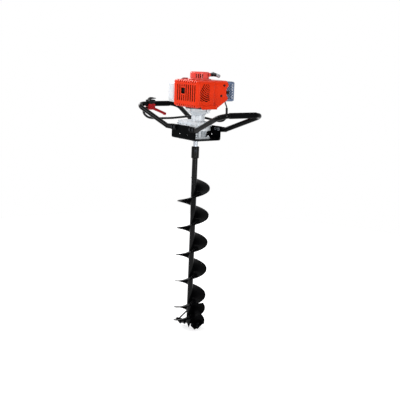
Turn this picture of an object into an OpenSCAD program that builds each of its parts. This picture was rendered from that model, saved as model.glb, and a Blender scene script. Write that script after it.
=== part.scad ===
// Earth auger: a two-handed petrol drill that turns a screw bit into the ground.
// Millimetres, +Z up along the drill's axis, origin at the bit's point.

/* [Bit] */
// Diameter of the flight
flight_d = 150; // [130:1:180]
// Rise of the flight in one turn
flight_pitch = 130; // [110:1:150]
// Thickness of the flight plate
flight_t = 4; // [3:0.5:6]
// Height of the main flight on the tube
flight_h = 694; // [500:1:800]
// Height of the short second flight
second_h = 83; // [60:1:95]
// Height of the flights' lower ends above the point
flight_z = 31; // [29:1:40]
// Bare length of tube between the main flight and the sleeve
bare_l = 102; // [60:1:160]
// Outer diameter of the bit's tube
tube_d = 26; // [22:1:32]
// Wall of the bit's tube
tube_wall = 3.5; // [2.5:0.5:5]
// Height of the centre point
point_h = 24; // [18:1:27]
// Wall of the coupling sleeve round the output shaft
sleeve_wall = 8; // [6:0.5:11]
// Length of the coupling sleeve
sleeve_l = 56; // [48:1:70]
// Depth of the tube in the sleeve
tube_seat = 12; // [8:1:16]
// Diameter of the cross bolt
cross_bolt_d = 8; // [6:0.5:10]
// Thickness of the cutter blades and of their holders
blade_t = 5; // [4:0.5:6]
// Reach of the cutter blades from the drill's axis
blade_r = 71; // [66:1:78]
// Length of the cutter blades down their slope
blade_l = 44; // [40:1:48]
// Slope of the cutter blades
blade_a = 40; // [36:1:44]
// Diameter of the cutter bolts
blade_bolt_d = 6; // [5:0.5:6.5]
// Diameter of the brace rod
brace_d = 7; // [5:0.5:9]

/* [Frame] */
// Free length of the output shaft under the frame
shaft_gap = 35; // [25:1:60]
// Thickness of the frame's plate
plate_t = 4; // [3:0.5:6]
// Length of the frame
frame_l = 183; // [175:1:200]
// Height of the frame's side plates
frame_h = 64; // [58:1:80]
// Outer radius of the frame's bends
bend_r = 9; // [7:0.5:14]
// Gap between the gearbox and the side plates
case_gap = 6.5; // [6:0.5:12]
// Diameter of the spare holes in the side plates
spare_d = 9; // [7:0.5:12]
// Distance between the spare holes
spare_l = 56; // [40:1:70]
// Height of the spare holes above the frame's underside
spare_h = 23; // [19:1:28]

/* [Handles] */
// Diameter of the handle tube
handle_d = 22; // [18:0.5:26]
// Distance of the grip bars from the drill's axis
loop_x = 330; // [290:1:380]
// Height of the grip bars above the frame's underside
loop_h = 136; // [115:1:170]
// Width of a loop between the corners of its bent line
loop_w = 236; // [210:1:260]
// Bend radius of the loops
loop_r = 40; // [32:1:48]
// Thickness of the flattened tube ends
tab_t = 5; // [4:0.5:7]
// Height of the flattened tube ends
tab_h = 26; // [22:1:32]
// Length of the flattened ends on the frame
tab_l = 42; // [40:1:50]
// Diameter of the handle bolts
handle_bolt_d = 8; // [6:0.5:10]
// Distance between the two bolts of one tube end
tab_bolt_l = 22; // [18:1:25]
// Wall of the grip sleeves
grip_wall = 1.8; // [1.5:0.1:4]

/* [Gearbox] */
// Module of the gears
gear_m = 2; // [1.9:0.05:2.2]
// Teeth of the clutch drum's pinion
drive_teeth = 9; // [9:1:9]
// Teeth of the layshaft's gear
lay_teeth = 48; // [46:1:50]
// Teeth of the layshaft's pinion
pinion_teeth = 9; // [9:1:9]
// Teeth of the output gear
output_teeth = 36; // [34:1:36]
// Diameter of the output shaft
shaft_d = 20; // [18:1:24]
// Diameter of the layshaft and of the drum's shaft
lay_d = 12; // [11:0.5:12]
// Wall of the gear cases
case_wall = 5; // [4:0.5:7]
// Width of the screwed rim round the cases
rim_w = 5; // [4.5:0.5:7]
// Width of the bearings
bearing_w = 9; // [8:0.5:11]
// Radial thickness of the bearings
bearing_t = 9; // [8:0.5:10]
// Width of the output gear
output_w = 13; // [11:0.5:16]
// Width of the layshaft's gear
lay_w = 12; // [10:0.5:14]
// Thickness of the foot under the lower case
foot_t = 8; // [6:0.5:10]
// Diameter of the screws of the cases and the clutch housing
case_screw_d = 5; // [4:0.5:6]
// Diameter of the bolts that hold the gearbox to the frame
foot_bolt_d = 8; // [6:0.5:9]
// Roof of the upper case over its gears
roof_t = 4.5; // [4:0.5:6]
// Height of the ribbed neck over the gearbox
neck_h = 29; // [26:1:36]
// Outer radius of the neck with its ribs
neck_r = 31; // [30:0.5:34]
// Height of the cone of the clutch housing
bell_h = 23; // [20:1:28]
// Radius of the clutch housing's upper rim
bell_r = 58; // [56:1:64]
// Thickness of the clutch housing's upper rim
bell_rim = 8; // [6:0.5:10]
// Depth of the screw lugs under that rim
lug_drop = 7; // [4:0.5:10]

/* [Engine] */
// Outer radius of the clutch drum
drum_r = 27; // [25:0.5:28]
// Radius of the flywheel
flywheel_r = 49; // [44:1:50]
// Diameter of the crankshaft
crank_d = 16; // [14:1:18]
// Distance from the crank axis to the front of the main cover
cover_front = 104; // [102:1:112]
// Depth of the step at the exhaust side of the main cover
cover_step = 12; // [10:1:14]
// Distance from the crank axis to the back of the main cover
cover_back = 84; // [76:1:92]
// Distance from the crank axis to the slotted side
cover_left = 85; // [83:1:92]
// Distance from the crank axis to the open side by the muffler
cover_right = 96; // [92:1:102]
// Height of the covers
cover_h = 122; // [118:1:132]
// Wall of the covers
cover_wall = 3; // [2.5:0.25:3.5]
// Rounding of the covers' upright corners
corner_r = 14; // [13:0.5:18]
// Rounding of the covers' level edges
edge_r = 12; // [10:0.5:12]
// Rounding of the corners that the slotted side shows
face_r = 22; // [18:0.5:24]
// Rounding of the slotted side's lower back corner
face_low_r = 32; // [26:0.5:36]
// Number of slots in the air cleaner cover
slot_count = 9; // [7:1:9]
// Width of the slots
slot_w = 7; // [5:0.5:8]
// Distance between the slots
slot_step = 16.4; // [15:0.1:17]
// Width of the round slots of the cooling vent
vent_w = 4.6; // [3.5:0.1:5.5]
// Distance between the round slots of the cooling vent
vent_step = 8.6; // [8:0.1:10]
// Radius of the recoil housing
recoil_r = 43.5; // [43:0.5:50]
// Height of the recoil housing
recoil_h = 36; // [33:1:44]
// Radius at which the starter rope runs on its pulley
rope_r = 34; // [32:0.5:35]
// Diameter of the starter rope
rope_d = 4; // [3:0.5:5]
// Length of the starter handle's grip
pull_l = 56; // [46:1:70]
// Width of the fuel tank, away from the engine
tank_w = 53; // [44:1:64]
// Height of the fuel tank
tank_h = 90; // [76:1:96]
// Length of the fuel tank
tank_l = 140; // [120:1:150]
// Radius of the fuel cap
cap_r = 18.5; // [17:0.5:21]
// Width of the muffler guard past the main cover
guard_out = 50; // [40:1:60]
// Thickness of the guard's sheet
guard_t = 1.5; // [1:0.25:2]
// Width of the guard's diamond holes
guard_hole_d = 8.4; // [6:0.2:9]
// Distance between the guard's holes
guard_step = 12; // [11.5:0.25:14]

/* [Controls] */
// Place of the throttle on the grip bar
throttle_y = -38.5; // [-42:0.5:-36]
// Length of the throttle's two halves along the bar
throttle_l = 37; // [36:0.5:42]
// Half width of the throttle across the bar
throttle_hw = 19; // [18.5:0.5:22]
// Depth of the throttle's red half under the bar's axis
throttle_low = 29; // [28:0.5:33]
// Height of the throttle's black half over the bar's axis
throttle_top = 20; // [19.5:0.5:24]
// Length of the throttle lever
lever_l = 86; // [70:1:96]
// Width of the throttle lever
lever_w = 12; // [10:0.5:14]
// Slope of the throttle lever at rest
lever_a = 21; // [18:1:24]
// Diameter of the cable sleeve
loom_d = 11; // [8:0.5:13]
// Diameter of the bare cable at the engine
cable_d = 6; // [4:0.5:7]

/* [Fits] */
// Radial play of a shaft in its bearing
run_gap = 0.05; // [0.03:0.01:0.09]
// Play between fixed pieces
fit_gap = 0.1; // [0.05:0.01:0.2]
// Play round bolts and screws
bolt_gap = 0.25; // [0.15:0.05:0.5]
// Play round pieces that move past each other
move_gap = 0.5; // [0.4:0.05:1]
// Thickness lost on each gear tooth for play
backlash = 0.16; // [0.1:0.01:0.3]

/* [Hidden] */
$fn = 64;

orange = "#ff4a1a";
red = "#c8141e";
alu = "#d7dce1";
steel = "#9aa0a6";
black = "#1c1c1e";
paint = "#26272a";
white = "#eef2fa";

// Direction of the main flight's lower end, and steps of a flight in one turn
flight_a = 33.5;
flight_steps = 36;
shaft_r = shaft_d / 2;
tube_r = tube_d / 2;
flight_in = tube_r / cos(180 / flight_steps) + fit_gap;
flight_top = flight_z + flight_h;
sleeve_z = flight_top + bare_l;
sleeve_top = sleeve_z + sleeve_l;
sleeve_r = shaft_r + sleeve_wall;
sleeve_edge = 3;
cross_z = sleeve_top - 19;
cross_a = -30;
point_r = tube_r - tube_wall - fit_gap;
point_shank = 30;
blade_in = tube_r + 1.5;
blade_z = flight_z + flight_t / 2 + 0.4 + blade_t / 2 / cos(blade_a);
blade_holes = [[blade_in + 12, -0.48 * blade_l], [blade_r - 21, -0.3 * blade_l],
    [blade_r - 21, -0.6 * blade_l]];
holder_y = -0.4 - sin(blade_a) * (blade_z - flight_z + flight_t / 2);
brace_top = flight_z + second_h - 26;
brace_reach = 38;

// Levels of the frame and the gearbox, from the bottom up
frame_z = sleeve_top + shaft_gap;
case_z = frame_z + plate_t;
seal_h = 5;
out_brg_z = case_z + seal_h;
out_gear_z = out_brg_z + 2 * bearing_w + 1;
out_gear_top = out_gear_z + output_w;
lay_z = out_gear_top + 5;
lay_top = lay_z + lay_w;
split_z = lay_z + 8;
roof_z = lay_top + 3;
case_top = roof_z + bearing_w + 12;
neck_top = case_top + neck_h;
bell_rim_z = neck_top + bell_h;
bell_top = bell_rim_z + bell_rim;

// Gear train: the drum's pinion drives the layshaft, whose pinion drives the output gear
lay_x = gear_m * (pinion_teeth + output_teeth) / 2;
engine_x = gear_m * (drive_teeth + lay_teeth) / 2 - lay_x;
press_a = 25;
tip_k = 0.8;
root_k = 1.1;
gear_gap = 2.4;
lay_cave = gear_m * (lay_teeth / 2 + tip_k) + gear_gap;
out_cave = gear_m * (output_teeth / 2 + tip_k) + gear_gap;
pin_cave = gear_m * (pinion_teeth / 2 + tip_k) + gear_gap;
case_r = lay_cave + case_wall + rim_w;
case_x = engine_x / 2;
boss_r = out_cave + case_wall;
lay_boss_r = lay_d / 2 + bearing_t + 2 * case_wall;
out_brg_r = shaft_r + bearing_t + 2;
lay_brg_r = lay_d / 2 + bearing_t;
lay_brg_z = out_gear_z - 1 - bearing_w;
rim_t = split_z - lay_z + 4;
screw_r = case_r - rim_w / 2 - 0.5;
foot_w = boss_r + 4;
foot_x = [-lay_x - 0.75 * lay_boss_r, boss_r - 6];
foot_y = foot_w - 10;
gusset_t = 5;
neck_rib_d = 3;
neck_ribs = 10;
neck_foot_r = neck_r + 7;
neck_foot_t = 6;
rim_top = roof_z + roof_t;
block_hw = neck_foot_r + 5;
block_x = [-lay_x - lay_boss_r - 21, engine_x + neck_foot_r + 18];
block_r = 9;
bell_wall = 5;
lug_r = 8;
lug_ring = bell_r + 3;
neck_screw_ring = neck_foot_r - 4;
neck_brg_z = [case_top + 2, case_top + 2 + bearing_w + 3];

// Frame and handles
frame_w = 2 * (case_r + case_gap + plate_t);
frame_top = frame_z + frame_h;
shaft_hole_r = out_brg_r + 2;
plate_corner = 10;
handle_lead = 20.5;
handle_x = frame_l / 2 + handle_lead;
handle_y = frame_w / 2 + handle_d / 2;
handle_z = frame_top - tab_h / 2;
loop_z = frame_z + loop_h;
slope_a = atan2(loop_z - handle_z, loop_x - handle_x);
loop_s = norm([loop_x - handle_x, loop_z - handle_z]);
spread_a = atan2(loop_w / 2 - handle_y, loop_s);
turn_a = 90 + spread_a;
bend_cut = loop_r * tan(turn_a / 2);
leg_l = norm([loop_s, loop_w / 2 - handle_y]) - bend_cut;
bar_half = loop_w / 2 - bend_cut;
tab_bolt_x = [frame_l / 2 - 9.5 - tab_bolt_l, frame_l / 2 - 9.5];
joint_l = 2;
joint_d = 0.3;
nut_h = 4.6;
head_h = 5;

// Engine levels and places
drum_z = neck_top + 5;
drum_h = 20;
drum_wall = 2.5;
fan_z = bell_top + 4;
fan_disc = 8;
fan_blade = 11;
chamber_r = flywheel_r + 5;
chamber_wall = 6;
chamber_h = 30;
plate_z = bell_top + chamber_h;
barrel_r = 40;
barrel_top = plate_z + 72;
crank_top = barrel_top + 12;
cover_z = bell_top + 6;
cover_top = cover_z + cover_h;
x_front = engine_x + cover_front;
x_step = x_front - cover_step;
x_back = engine_x - cover_back;
y_seam = -cover_left + edge_r;
step_y = 9;
cyl_x = engine_x + barrel_r;
cyl_z = cover_z + 66;
cyl_l = 36;
fin_n = 5;
fin_t = 2;
fin_hw = 31;
head_x = cyl_x + cyl_l;
slot_x0 = x_front - 21 - (slot_count - 1) * slot_step;
slot_z = [cover_z + 28, cover_z + 102];
window_x = [slot_x0 + 1.5 * slot_step, slot_x0 + 3.45 * slot_step];
window_z = [cover_z + 59, cover_z + 86];
choke_x = (window_x[0] + window_x[1]) / 2;
choke_z = (window_z[0] + window_z[1]) / 2;
pin_r = 2.5;
filter_t = 7;
box_t = 3;
recoil_wall = 3;
recoil_top = cover_top + recoil_h;
recoil_foot = 10;
recoil_foot_t = 5;
post_r = 6;
pulley_w = 12;
rope_z = recoil_top - 12;
rope_x = engine_x + rope_r;
guide_y = sqrt(pow(recoil_r, 2) - pow(rope_r, 2));
guide_l = 19;
guide_boss = 3;
pull_y = guide_y + guide_l + 1;
pull_stem = 14;
pull_tilt = 11;
tank_x = x_back;
tank_z = cover_z + 18;
tank_y = -80;
tank_r = 14;
cap_x = tank_x - tank_w / 2 + 1.5;
cap_y = tank_y + 78;
neck_cap_r = cap_r - 4.5;
cap_z = tank_z + tank_h;
cap_h = 17;
guard_x = [engine_x - 27, x_step - cover_wall - 9];
guard_y = [cover_right - 24, cover_right + guard_out];
guard_z = [cover_z + 28, cover_top - cover_wall - 0.4];
guard_r = 11;
guard_edge = 16;
outlet_y = cover_right - 3;
outlet_z = cyl_z + 3;

// Throttle places, counted from the grip bar's axis
lever_y = 8;
lever_z = -20;
lever_hub = 6.5;
lever_tip = 5.5;
lock_y = -11;
lock_z = 17;
lock_w = 10;
lock_hub = 4;
screw_x = 15;
screw_y = 13;

// Route of the cable sleeve from the throttle round the back of the neck, then of the bare cable
cable_in = [-loop_x, throttle_y - throttle_l / 2, loop_z];
cable_mid = [0, frame_w / 2, case_top];
cable_out = [x_step, cover_right, cover_z];
loom_route = concat(
    [for (p = [[0, -0.3, -20], [1, -13, -22], [8, -25, -32], [25, -32, -46]]) cable_in + p],
    [for (p = [[-0.83 * loop_x, -160.5, -5], [-0.735 * loop_x, -148.5, -8], [-0.64 * loop_x, -120.5, -6],
        [-0.53 * loop_x, -86.5, -2], [-0.42 * loop_x, -58.5, 5], [-0.31 * loop_x, -36.5, 11],
        [-60, -22.5, 13], [-20, -8.5, 11], [15, 1.5, 7], [50, 11.5, 3], [76, 18.5, 6]]) cable_mid + p],
    [for (p = [[-12, 0, -47], [-7, 1.5, -24], [-7, 1, 0]]) cable_out + p]);
tail_route = [for (p = [[-7, 0.8, 2], [-7.2, -1.5, 9], [-7.4, -5, 16], [-7.5, -8.5, 23], [-7.5, -10, 30],
    [-7.5, -10, 33], [-7.5, -10, 36]]) cable_out + p];

// Rectangle with round corners
module rrect(x0, x1, y0, y1, r) {
    translate([x0 + r, y0]) square([x1 - x0 - 2 * r, y1 - y0]);
    translate([x0, y0 + r]) square([x1 - x0, y1 - y0 - 2 * r]);
    for (x = [x0 + r, x1 - r], y = [y0 + r, y1 - r]) translate([x, y]) circle(r);
}

// Slot shape between two centres on a line along X
module pill(x0, x1, r) {
    translate([x0, -r]) square([x1 - x0, 2 * r]);
    for (x = [x0, x1]) translate([x, 0]) circle(r);
}

// Tapered bar between two rounds, from the origin along X
module link_bar(l, r0, r1) {
    a = asin((r0 - r1) / l);
    c = 0.99 * [sin(a), cos(a)];
    d = 0.99 * [sin(a), -cos(a)];
    polygon([r0 * c, [l, 0] + r1 * c, [l, 0] + r1 * d, r0 * d]);
}

// Extrudes a shape drawn in Y and Z along X
module along_x(x0, x1) {
    translate([x0, 0, 0]) rotate([90, 0, 90]) linear_extrude(x1 - x0) children();
}

// Extrudes a shape drawn in X and Z along Y
module along_y(y0, y1) {
    translate([0, y1, 0]) rotate([90, 0, 0]) linear_extrude(y1 - y0) children();
}

// Box with round upright corners and round level edges, which may be rounder along Y
module soft_box(x, y, z, rp, rt, ry = 0) {
    intersection() {
        translate([0, 0, z[0]]) linear_extrude(z[1] - z[0]) rrect(x[0], x[1], y[0], y[1], rp);
        along_x(x[0], x[1]) rrect(y[0], y[1], z[0], z[1], rt);
        along_y(y[0], y[1]) rrect(x[0], x[1], z[0], z[1], ry > 0 ? ry : rt);
    }
}

// Hexagon bolt head with a shank that points down from its seat at zero
module hex_bolt(d, l) {
    cylinder(h = head_h, r = 0.95 * d, $fn = 6);
    translate([0, 0, -l]) cylinder(h = l + 1, d = d);
}

// Round screw head with a shank that points down from its seat at zero
module cap_screw(d, l) {
    difference() {
        cylinder(h = 0.8 * d, r = 0.8 * d);
        translate([0, 0, 0.35 * d]) cylinder(h = d, r = 0.42 * d, $fn = 6);
    }
    translate([0, 0, -l]) cylinder(h = l + 0.2, d = d);
}

// Angle that an involute flank has turned at a pressure angle
function involute(a) = tan(a) * 180 / PI - a;

// Half the angle of a tooth at a radius
function half_tooth(m, n, r) = let (rp = m * n / 2, rb = rp * cos(press_a))
    90 / n - backlash / 2 / rp * 180 / PI + involute(press_a) - (r > rb ? involute(acos(rb / r)) : 0);

// Radii at which a tooth's flank has its points
function flank_radii(m, n) = let (rp = m * n / 2, rb = rp * cos(press_a), rf = rp - root_k * m,
    r0 = max(rb, rf), ra = rp + tip_k * m)
        concat(rf < rb ? [rf] : [], [for (k = [0 : 3]) r0 + (ra - r0) * k / 3]);

// Outline of a spur gear with a tooth or a gap on the X axis
module gear_outline(m, n, gap) {
    radii = flank_radii(m, n);
    last = len(radii) - 1;
    polygon([for (i = [0 : n - 1]) let (a = 360 * (i + (gap ? 0.5 : 0)) / n) each concat(
        [for (k = [0 : last]) let (b = a - half_tooth(m, n, radii[k])) radii[k] * [cos(b), sin(b)]],
        [for (k = [last : -1 : 0]) let (b = a + half_tooth(m, n, radii[k])) radii[k] * [cos(b), sin(b)]])]);
}

// Screw plate that climbs with the angle, from its lower end
module helix_plate(a0, h) {
    turns = h / flight_pitch;
    n = ceil(turns * flight_steps);
    ring = [for (i = [0 : n]) let (a = a0 + 360 * turns * i / n, z = h * i / n, c = [cos(a), sin(a)])
        [concat(flight_in * c, z - flight_t / 2), concat(flight_d / 2 * c, z - flight_t / 2),
        concat(flight_d / 2 * c, z + flight_t / 2), concat(flight_in * c, z + flight_t / 2)]];
    points = [for (r = ring) each r];
    sides = [for (i = [0 : n - 1], k = [0 : 3]) let (p = 4 * i + k, q = 4 * i + (k + 1) % 4)
        each [[p, p + 4, q], [q, p + 4, q + 4]]];
    ends = [[0, 1, 2], [0, 2, 3], [4 * n, 4 * n + 2, 4 * n + 1], [4 * n, 4 * n + 3, 4 * n + 2]];
    translate([0, 0, flight_z]) polyhedron(points, concat(sides, ends));
}

// Point of a smooth curve between the second and third of four points
function curve(p, t) = 0.5 * (2 * p[1] + (p[2] - p[0]) * t + (2 * p[0] - 5 * p[1] + 4 * p[2] - p[3]) * t * t
    + (3 * p[1] - p[0] - 3 * p[2] + p[3]) * t * t * t);

// Smooth line through the points of a route
function smooth(route, n) = let (last = len(route) - 1) concat([for (i = [0 : last - 1], k = [0 : n - 1])
    curve([route[max(i - 1, 0)], route[i], route[i + 1], route[min(i + 2, last)]], k / n)], [route[last]]);

function unit(v) = v / norm(v);

// Tube of ten sides swept along a line of points
module sweep(line, r) {
    sides = 10;
    last = len(line) - 1;
    dirs = [for (i = [0 : last]) unit(line[min(i + 1, last)] - line[max(i - 1, 0)])];
    points = [for (i = [0 : last]) let (u = unit(cross([0.3, 0.2, 1], dirs[i])), v = cross(dirs[i], u))
        each [for (k = [0 : sides - 1]) line[i] + r * (cos(360 * k / sides) * u + sin(360 * k / sides) * v)]];
    walls = [for (i = [0 : last - 1], k = [0 : sides - 1])
        let (p = i * sides + k, q = i * sides + (k + 1) % sides)
        each [[p, p + sides, q], [q, p + sides, q + sides]]];
    first = [for (k = [1 : sides - 2]) [0, k, k + 1]];
    end = [for (k = [1 : sides - 2]) let (e = last * sides) [e, e + k + 1, e + k]];
    polyhedron(points, concat(walls, first, end));
}

// Puts a child on the slope of one blade: X outwards, down along -Y
module on_blade(a, down) {
    rotate([0, 0, flight_a + a]) translate([0, 0, blade_z]) rotate([blade_a, 0, 0])
        translate([0, 0, -down]) children();
}

module auger_tube() {
    color(paint) difference() {
        translate([0, 0, point_h]) cylinder(h = sleeve_z + tube_seat - point_h, r = tube_r);
        translate([0, 0, point_h - 1]) cylinder(h = sleeve_z + tube_seat - point_h + 2,
            r = tube_r - tube_wall);
    }
}

module auger_flight() {
    color(paint) helix_plate(flight_a, flight_h);
}

module second_flight() {
    color(paint) helix_plate(flight_a + 180, second_h);
}

module centre_point() {
    color(paint) rotate_extrude() polygon([[0, 0], [point_r, point_h], [point_r, point_h + point_shank],
        [0, point_h + point_shank]]);
}

module cutter_blades() {
    b = blade_r;
    l = blade_l;
    color(paint) for (a = [0, 180]) on_blade(a, 0) difference() {
        translate([0, 0, -blade_t / 2]) linear_extrude(blade_t)
            polygon([[b - 24, 12], [b - 10, 12], [b, -0.14 * l],
            [b - 7, -0.5 * l], [b - 30, -l], [blade_in + 2, -0.6 * l], [blade_in, -0.2 * l],
                [blade_in + 16, 4]]);
        for (p = blade_holes) translate([p[0], p[1], -blade_t])
            cylinder(h = 2 * blade_t, d = blade_bolt_d + 2 * bolt_gap);
    }
}

module blade_holders() {
    b = blade_r;
    l = blade_l;
    color(paint) for (a = [0, 180]) on_blade(a, blade_t) difference() {
        translate([0, 0, -blade_t / 2]) linear_extrude(blade_t)
            polygon([[blade_in + 3, holder_y], [b - 12, holder_y],
            [b - 12, -0.6 * l], [b - 20, -0.76 * l], [blade_in + 8, -0.66 * l]]);
        for (p = blade_holes) translate([p[0], p[1], -blade_t])
            cylinder(h = 2 * blade_t, d = blade_bolt_d + 2 * bolt_gap);
    }
}

module cutter_bolts() {
    color(steel) for (a = [0, 180], p = blade_holes) on_blade(a, 0) translate([p[0], p[1], blade_t / 2]) {
        hex_bolt(blade_bolt_d, 2 * blade_t + head_h);
        translate([0, 0, -2 * blade_t - head_h]) cylinder(h = head_h, r = 0.95 * blade_bolt_d, $fn = 6);
    }
}

module brace_rod() {
    drop = brace_top - (flight_z + second_h / 8 + flight_t / 2 + brace_d / 2);
    color(paint) rotate([0, 0, flight_a + 200]) difference() {
        translate([tube_r - 4, 0, brace_top]) rotate([0, 90 + atan2(drop, brace_reach), 0])
            cylinder(h = norm([drop, brace_reach]), d = brace_d);
        translate([0, 0, point_h]) cylinder(h = brace_top + 40, r = tube_r + fit_gap);
    }
}

module auger_sleeve() {
    r = sleeve_r;
    e = sleeve_edge;
    color(paint) difference() {
        translate([0, 0, sleeve_z]) rotate_extrude() polygon([[tube_r + fit_gap, 0], [r - e, 0], [r, e],
            [r, sleeve_l - e], [r - e, sleeve_l], [shaft_r + fit_gap, sleeve_l],
                [shaft_r + fit_gap, tube_seat + 2],
            [shaft_r + fit_gap - 2, tube_seat + 2], [shaft_r + fit_gap - 2, tube_seat],
                [tube_r + fit_gap, tube_seat]]);
        cross_hole();
    }
}

module cross_hole() {
    translate([0, 0, cross_z]) rotate([90, 0, cross_a + 90])
        cylinder(h = 4 * sleeve_r, d = cross_bolt_d + 2 * bolt_gap, center = true);
}

module sleeve_bolt() {
    reach = sleeve_r + fit_gap;
    color(steel) translate([0, 0, cross_z]) rotate([90, 0, cross_a + 90]) {
        translate([0, 0, reach]) hex_bolt(cross_bolt_d, 2 * reach + nut_h + 2);
        translate([0, 0, -reach - nut_h]) cylinder(h = nut_h, r = 0.95 * cross_bolt_d, $fn = 6);
    }
}

module output_shaft() {
    z0 = sleeve_z + tube_seat + 2.5;
    color(steel) difference() {
        translate([0, 0, z0]) rotate_extrude() polygon([[0, 0], [shaft_r - 2, 0], [shaft_r, 2],
            [shaft_r, out_gear_top + 1 - z0], [0, out_gear_top + 1 - z0]]);
        cross_hole();
    }
}

module output_gear() {
    color(steel) translate([0, 0, out_gear_z]) difference() {
        linear_extrude(output_w) rotate([0, 0, 180]) gear_outline(gear_m, output_teeth, true);
        translate([0, 0, -1]) cylinder(h = output_w + 2, r = shaft_r + run_gap);
    }
}

module layshaft() {
    low = lay_brg_z;
    color(steel) translate([-lay_x, 0, 0]) {
        translate([0, 0, low + 0.5]) cylinder(h = roof_z + bearing_w - low - 1, d = lay_d);
        translate([0, 0, out_gear_z - 0.5]) linear_extrude(output_w + 1)
            gear_outline(gear_m, pinion_teeth, false);
        translate([0, 0, lay_z]) difference() {
            linear_extrude(lay_w) gear_outline(gear_m, lay_teeth, true);
            for (a = [30 : 60 : 330]) rotate([0, 0, a]) translate([0.62 * gear_m * lay_teeth / 2, 0, -1])
                cylinder(h = lay_w + 2, r = 0.17 * gear_m * lay_teeth / 2);
        }
    }
}

module clutch_drum() {
    pinion_z = lay_z - 1;
    color(steel) translate([engine_x, 0, 0]) {
        translate([0, 0, pinion_z]) linear_extrude(lay_w + 2) rotate([0, 0, 180])
            gear_outline(gear_m, drive_teeth, false);
        translate([0, 0, pinion_z]) cylinder(h = drum_z + 1 - pinion_z, d = lay_d);
        translate([0, 0, drum_z]) difference() {
            cylinder(h = drum_h, r = drum_r);
            translate([0, 0, drum_wall]) cylinder(h = drum_h, r = drum_r - drum_wall);
        }
    }
}

module bearing(z, r0, r1) {
    translate([0, 0, z + 0.1]) rotate_extrude() difference() {
        translate([r0 + run_gap, 0]) square([r1 - r0 - run_gap - 0.05, bearing_w - 0.2]);
        for (y = [-0.1, bearing_w - 1.1]) translate([r0 + 0.3 * (r1 - r0), y]) square([0.4 * (r1 - r0), 1]);
    }
}

module gearbox_bearings() {
    color(steel) {
        for (k = [0, 1]) bearing(out_brg_z + k * bearing_w, shaft_r, out_brg_r);
        translate([-lay_x, 0, 0]) for (z = [lay_brg_z, roof_z]) bearing(z, lay_d / 2, lay_brg_r);
        translate([engine_x, 0, 0]) for (z = neck_brg_z) bearing(z, lay_d / 2, lay_brg_r);
    }
}

module oil_seal() {
    color(black) translate([0, 0, case_z + 0.2]) difference() {
        cylinder(h = seal_h - 0.4, r = out_brg_r - 2 - 0.05);
        translate([0, 0, -1]) cylinder(h = seal_h + 2, r = shaft_r + run_gap);
    }
}

// Plan of the gear cases
module case_plan(r) {
    pill(-lay_x, case_x, r);
}

// Places of the screws round the cases
function case_screws_at() = concat([for (x = [-lay_x, case_x], s = [-1, 1]) [x, s * screw_r]],
    [for (s = [-1, 1]) [-lay_x - screw_r * cos(62), s * screw_r * sin(62)]],
    [for (s = [-1, 1]) [case_x + screw_r * cos(62), s * screw_r * sin(62)]]);

module gearbox_lower_case() {
    rim_z = split_z - rim_t;
    color(alu) difference() {
        union() {
            translate([0, 0, case_z]) linear_extrude(foot_t)
                rrect(foot_x[0] - 10, foot_x[1] + 10, -foot_w, foot_w, 10);
            translate([0, 0, case_z]) cylinder(h = split_z - case_z, r = boss_r);
            translate([-lay_x, 0, case_z]) cylinder(h = split_z - case_z, r = lay_boss_r);
            translate([-lay_x, -lay_boss_r, case_z]) cube([lay_x, 2 * lay_boss_r, split_z - case_z]);
            translate([0, 0, rim_z]) linear_extrude(rim_t) case_plan(case_r);
            case_gussets(rim_z);
        }
        translate([0, 0, lay_z - 2]) linear_extrude(split_z) case_cave();
        translate([0, 0, out_gear_z - 1]) cylinder(h = split_z, r = out_cave);
        translate([-lay_x, 0, out_gear_z - 1]) cylinder(h = split_z, r = pin_cave);
        translate([0, 0, out_brg_z]) cylinder(h = split_z, r = out_brg_r);
        translate([-lay_x, 0, lay_brg_z]) cylinder(h = split_z, r = lay_brg_r);
        translate([0, 0, case_z - 1]) cylinder(h = split_z, r = out_brg_r - 2);
        for (p = case_screws_at()) translate([p[0], p[1], rim_z - 1])
            cylinder(h = split_z, d = case_screw_d + 2 * fit_gap);
        for (x = foot_x, y = [-foot_y, foot_y]) translate([x, y, case_z - 1])
            cylinder(h = foot_t + 2, d = foot_bolt_d + 2 * bolt_gap);
    }
}

// Plan of the hollow round the layshaft's gear and the drum's pinion
module case_cave() {
    translate([-lay_x, 0]) circle(lay_cave);
    translate([engine_x, 0]) circle(gear_m * (drive_teeth / 2 + tip_k) + gear_gap);
}

// Upright ribs between the foot and the rim of the lower case
module case_gussets(rim_z) {
    h = rim_z - case_z;
    for (a = [-76, -22, 0, 22, 76]) rotate([0, 0, a]) rotate([90, 0, 0])
        linear_extrude(gusset_t, center = true)
        polygon([[boss_r - 3, case_z + foot_t], [boss_r + 2, case_z + foot_t],
            [case_r - 4, case_z + h + 1], [boss_r - 3, case_z + h + 1]]);
    translate([-lay_x, 0, 0]) for (a = [150, 180, 210]) rotate([0, 0, a]) rotate([90, 0, 0])
        linear_extrude(gusset_t, center = true) polygon([[lay_boss_r - 3, case_z + foot_t - 2],
            [lay_boss_r + 2, case_z + foot_t - 2], [case_r - 4, case_z + h + 1],
                [lay_boss_r - 3, case_z + h + 1]]);
}

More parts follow.
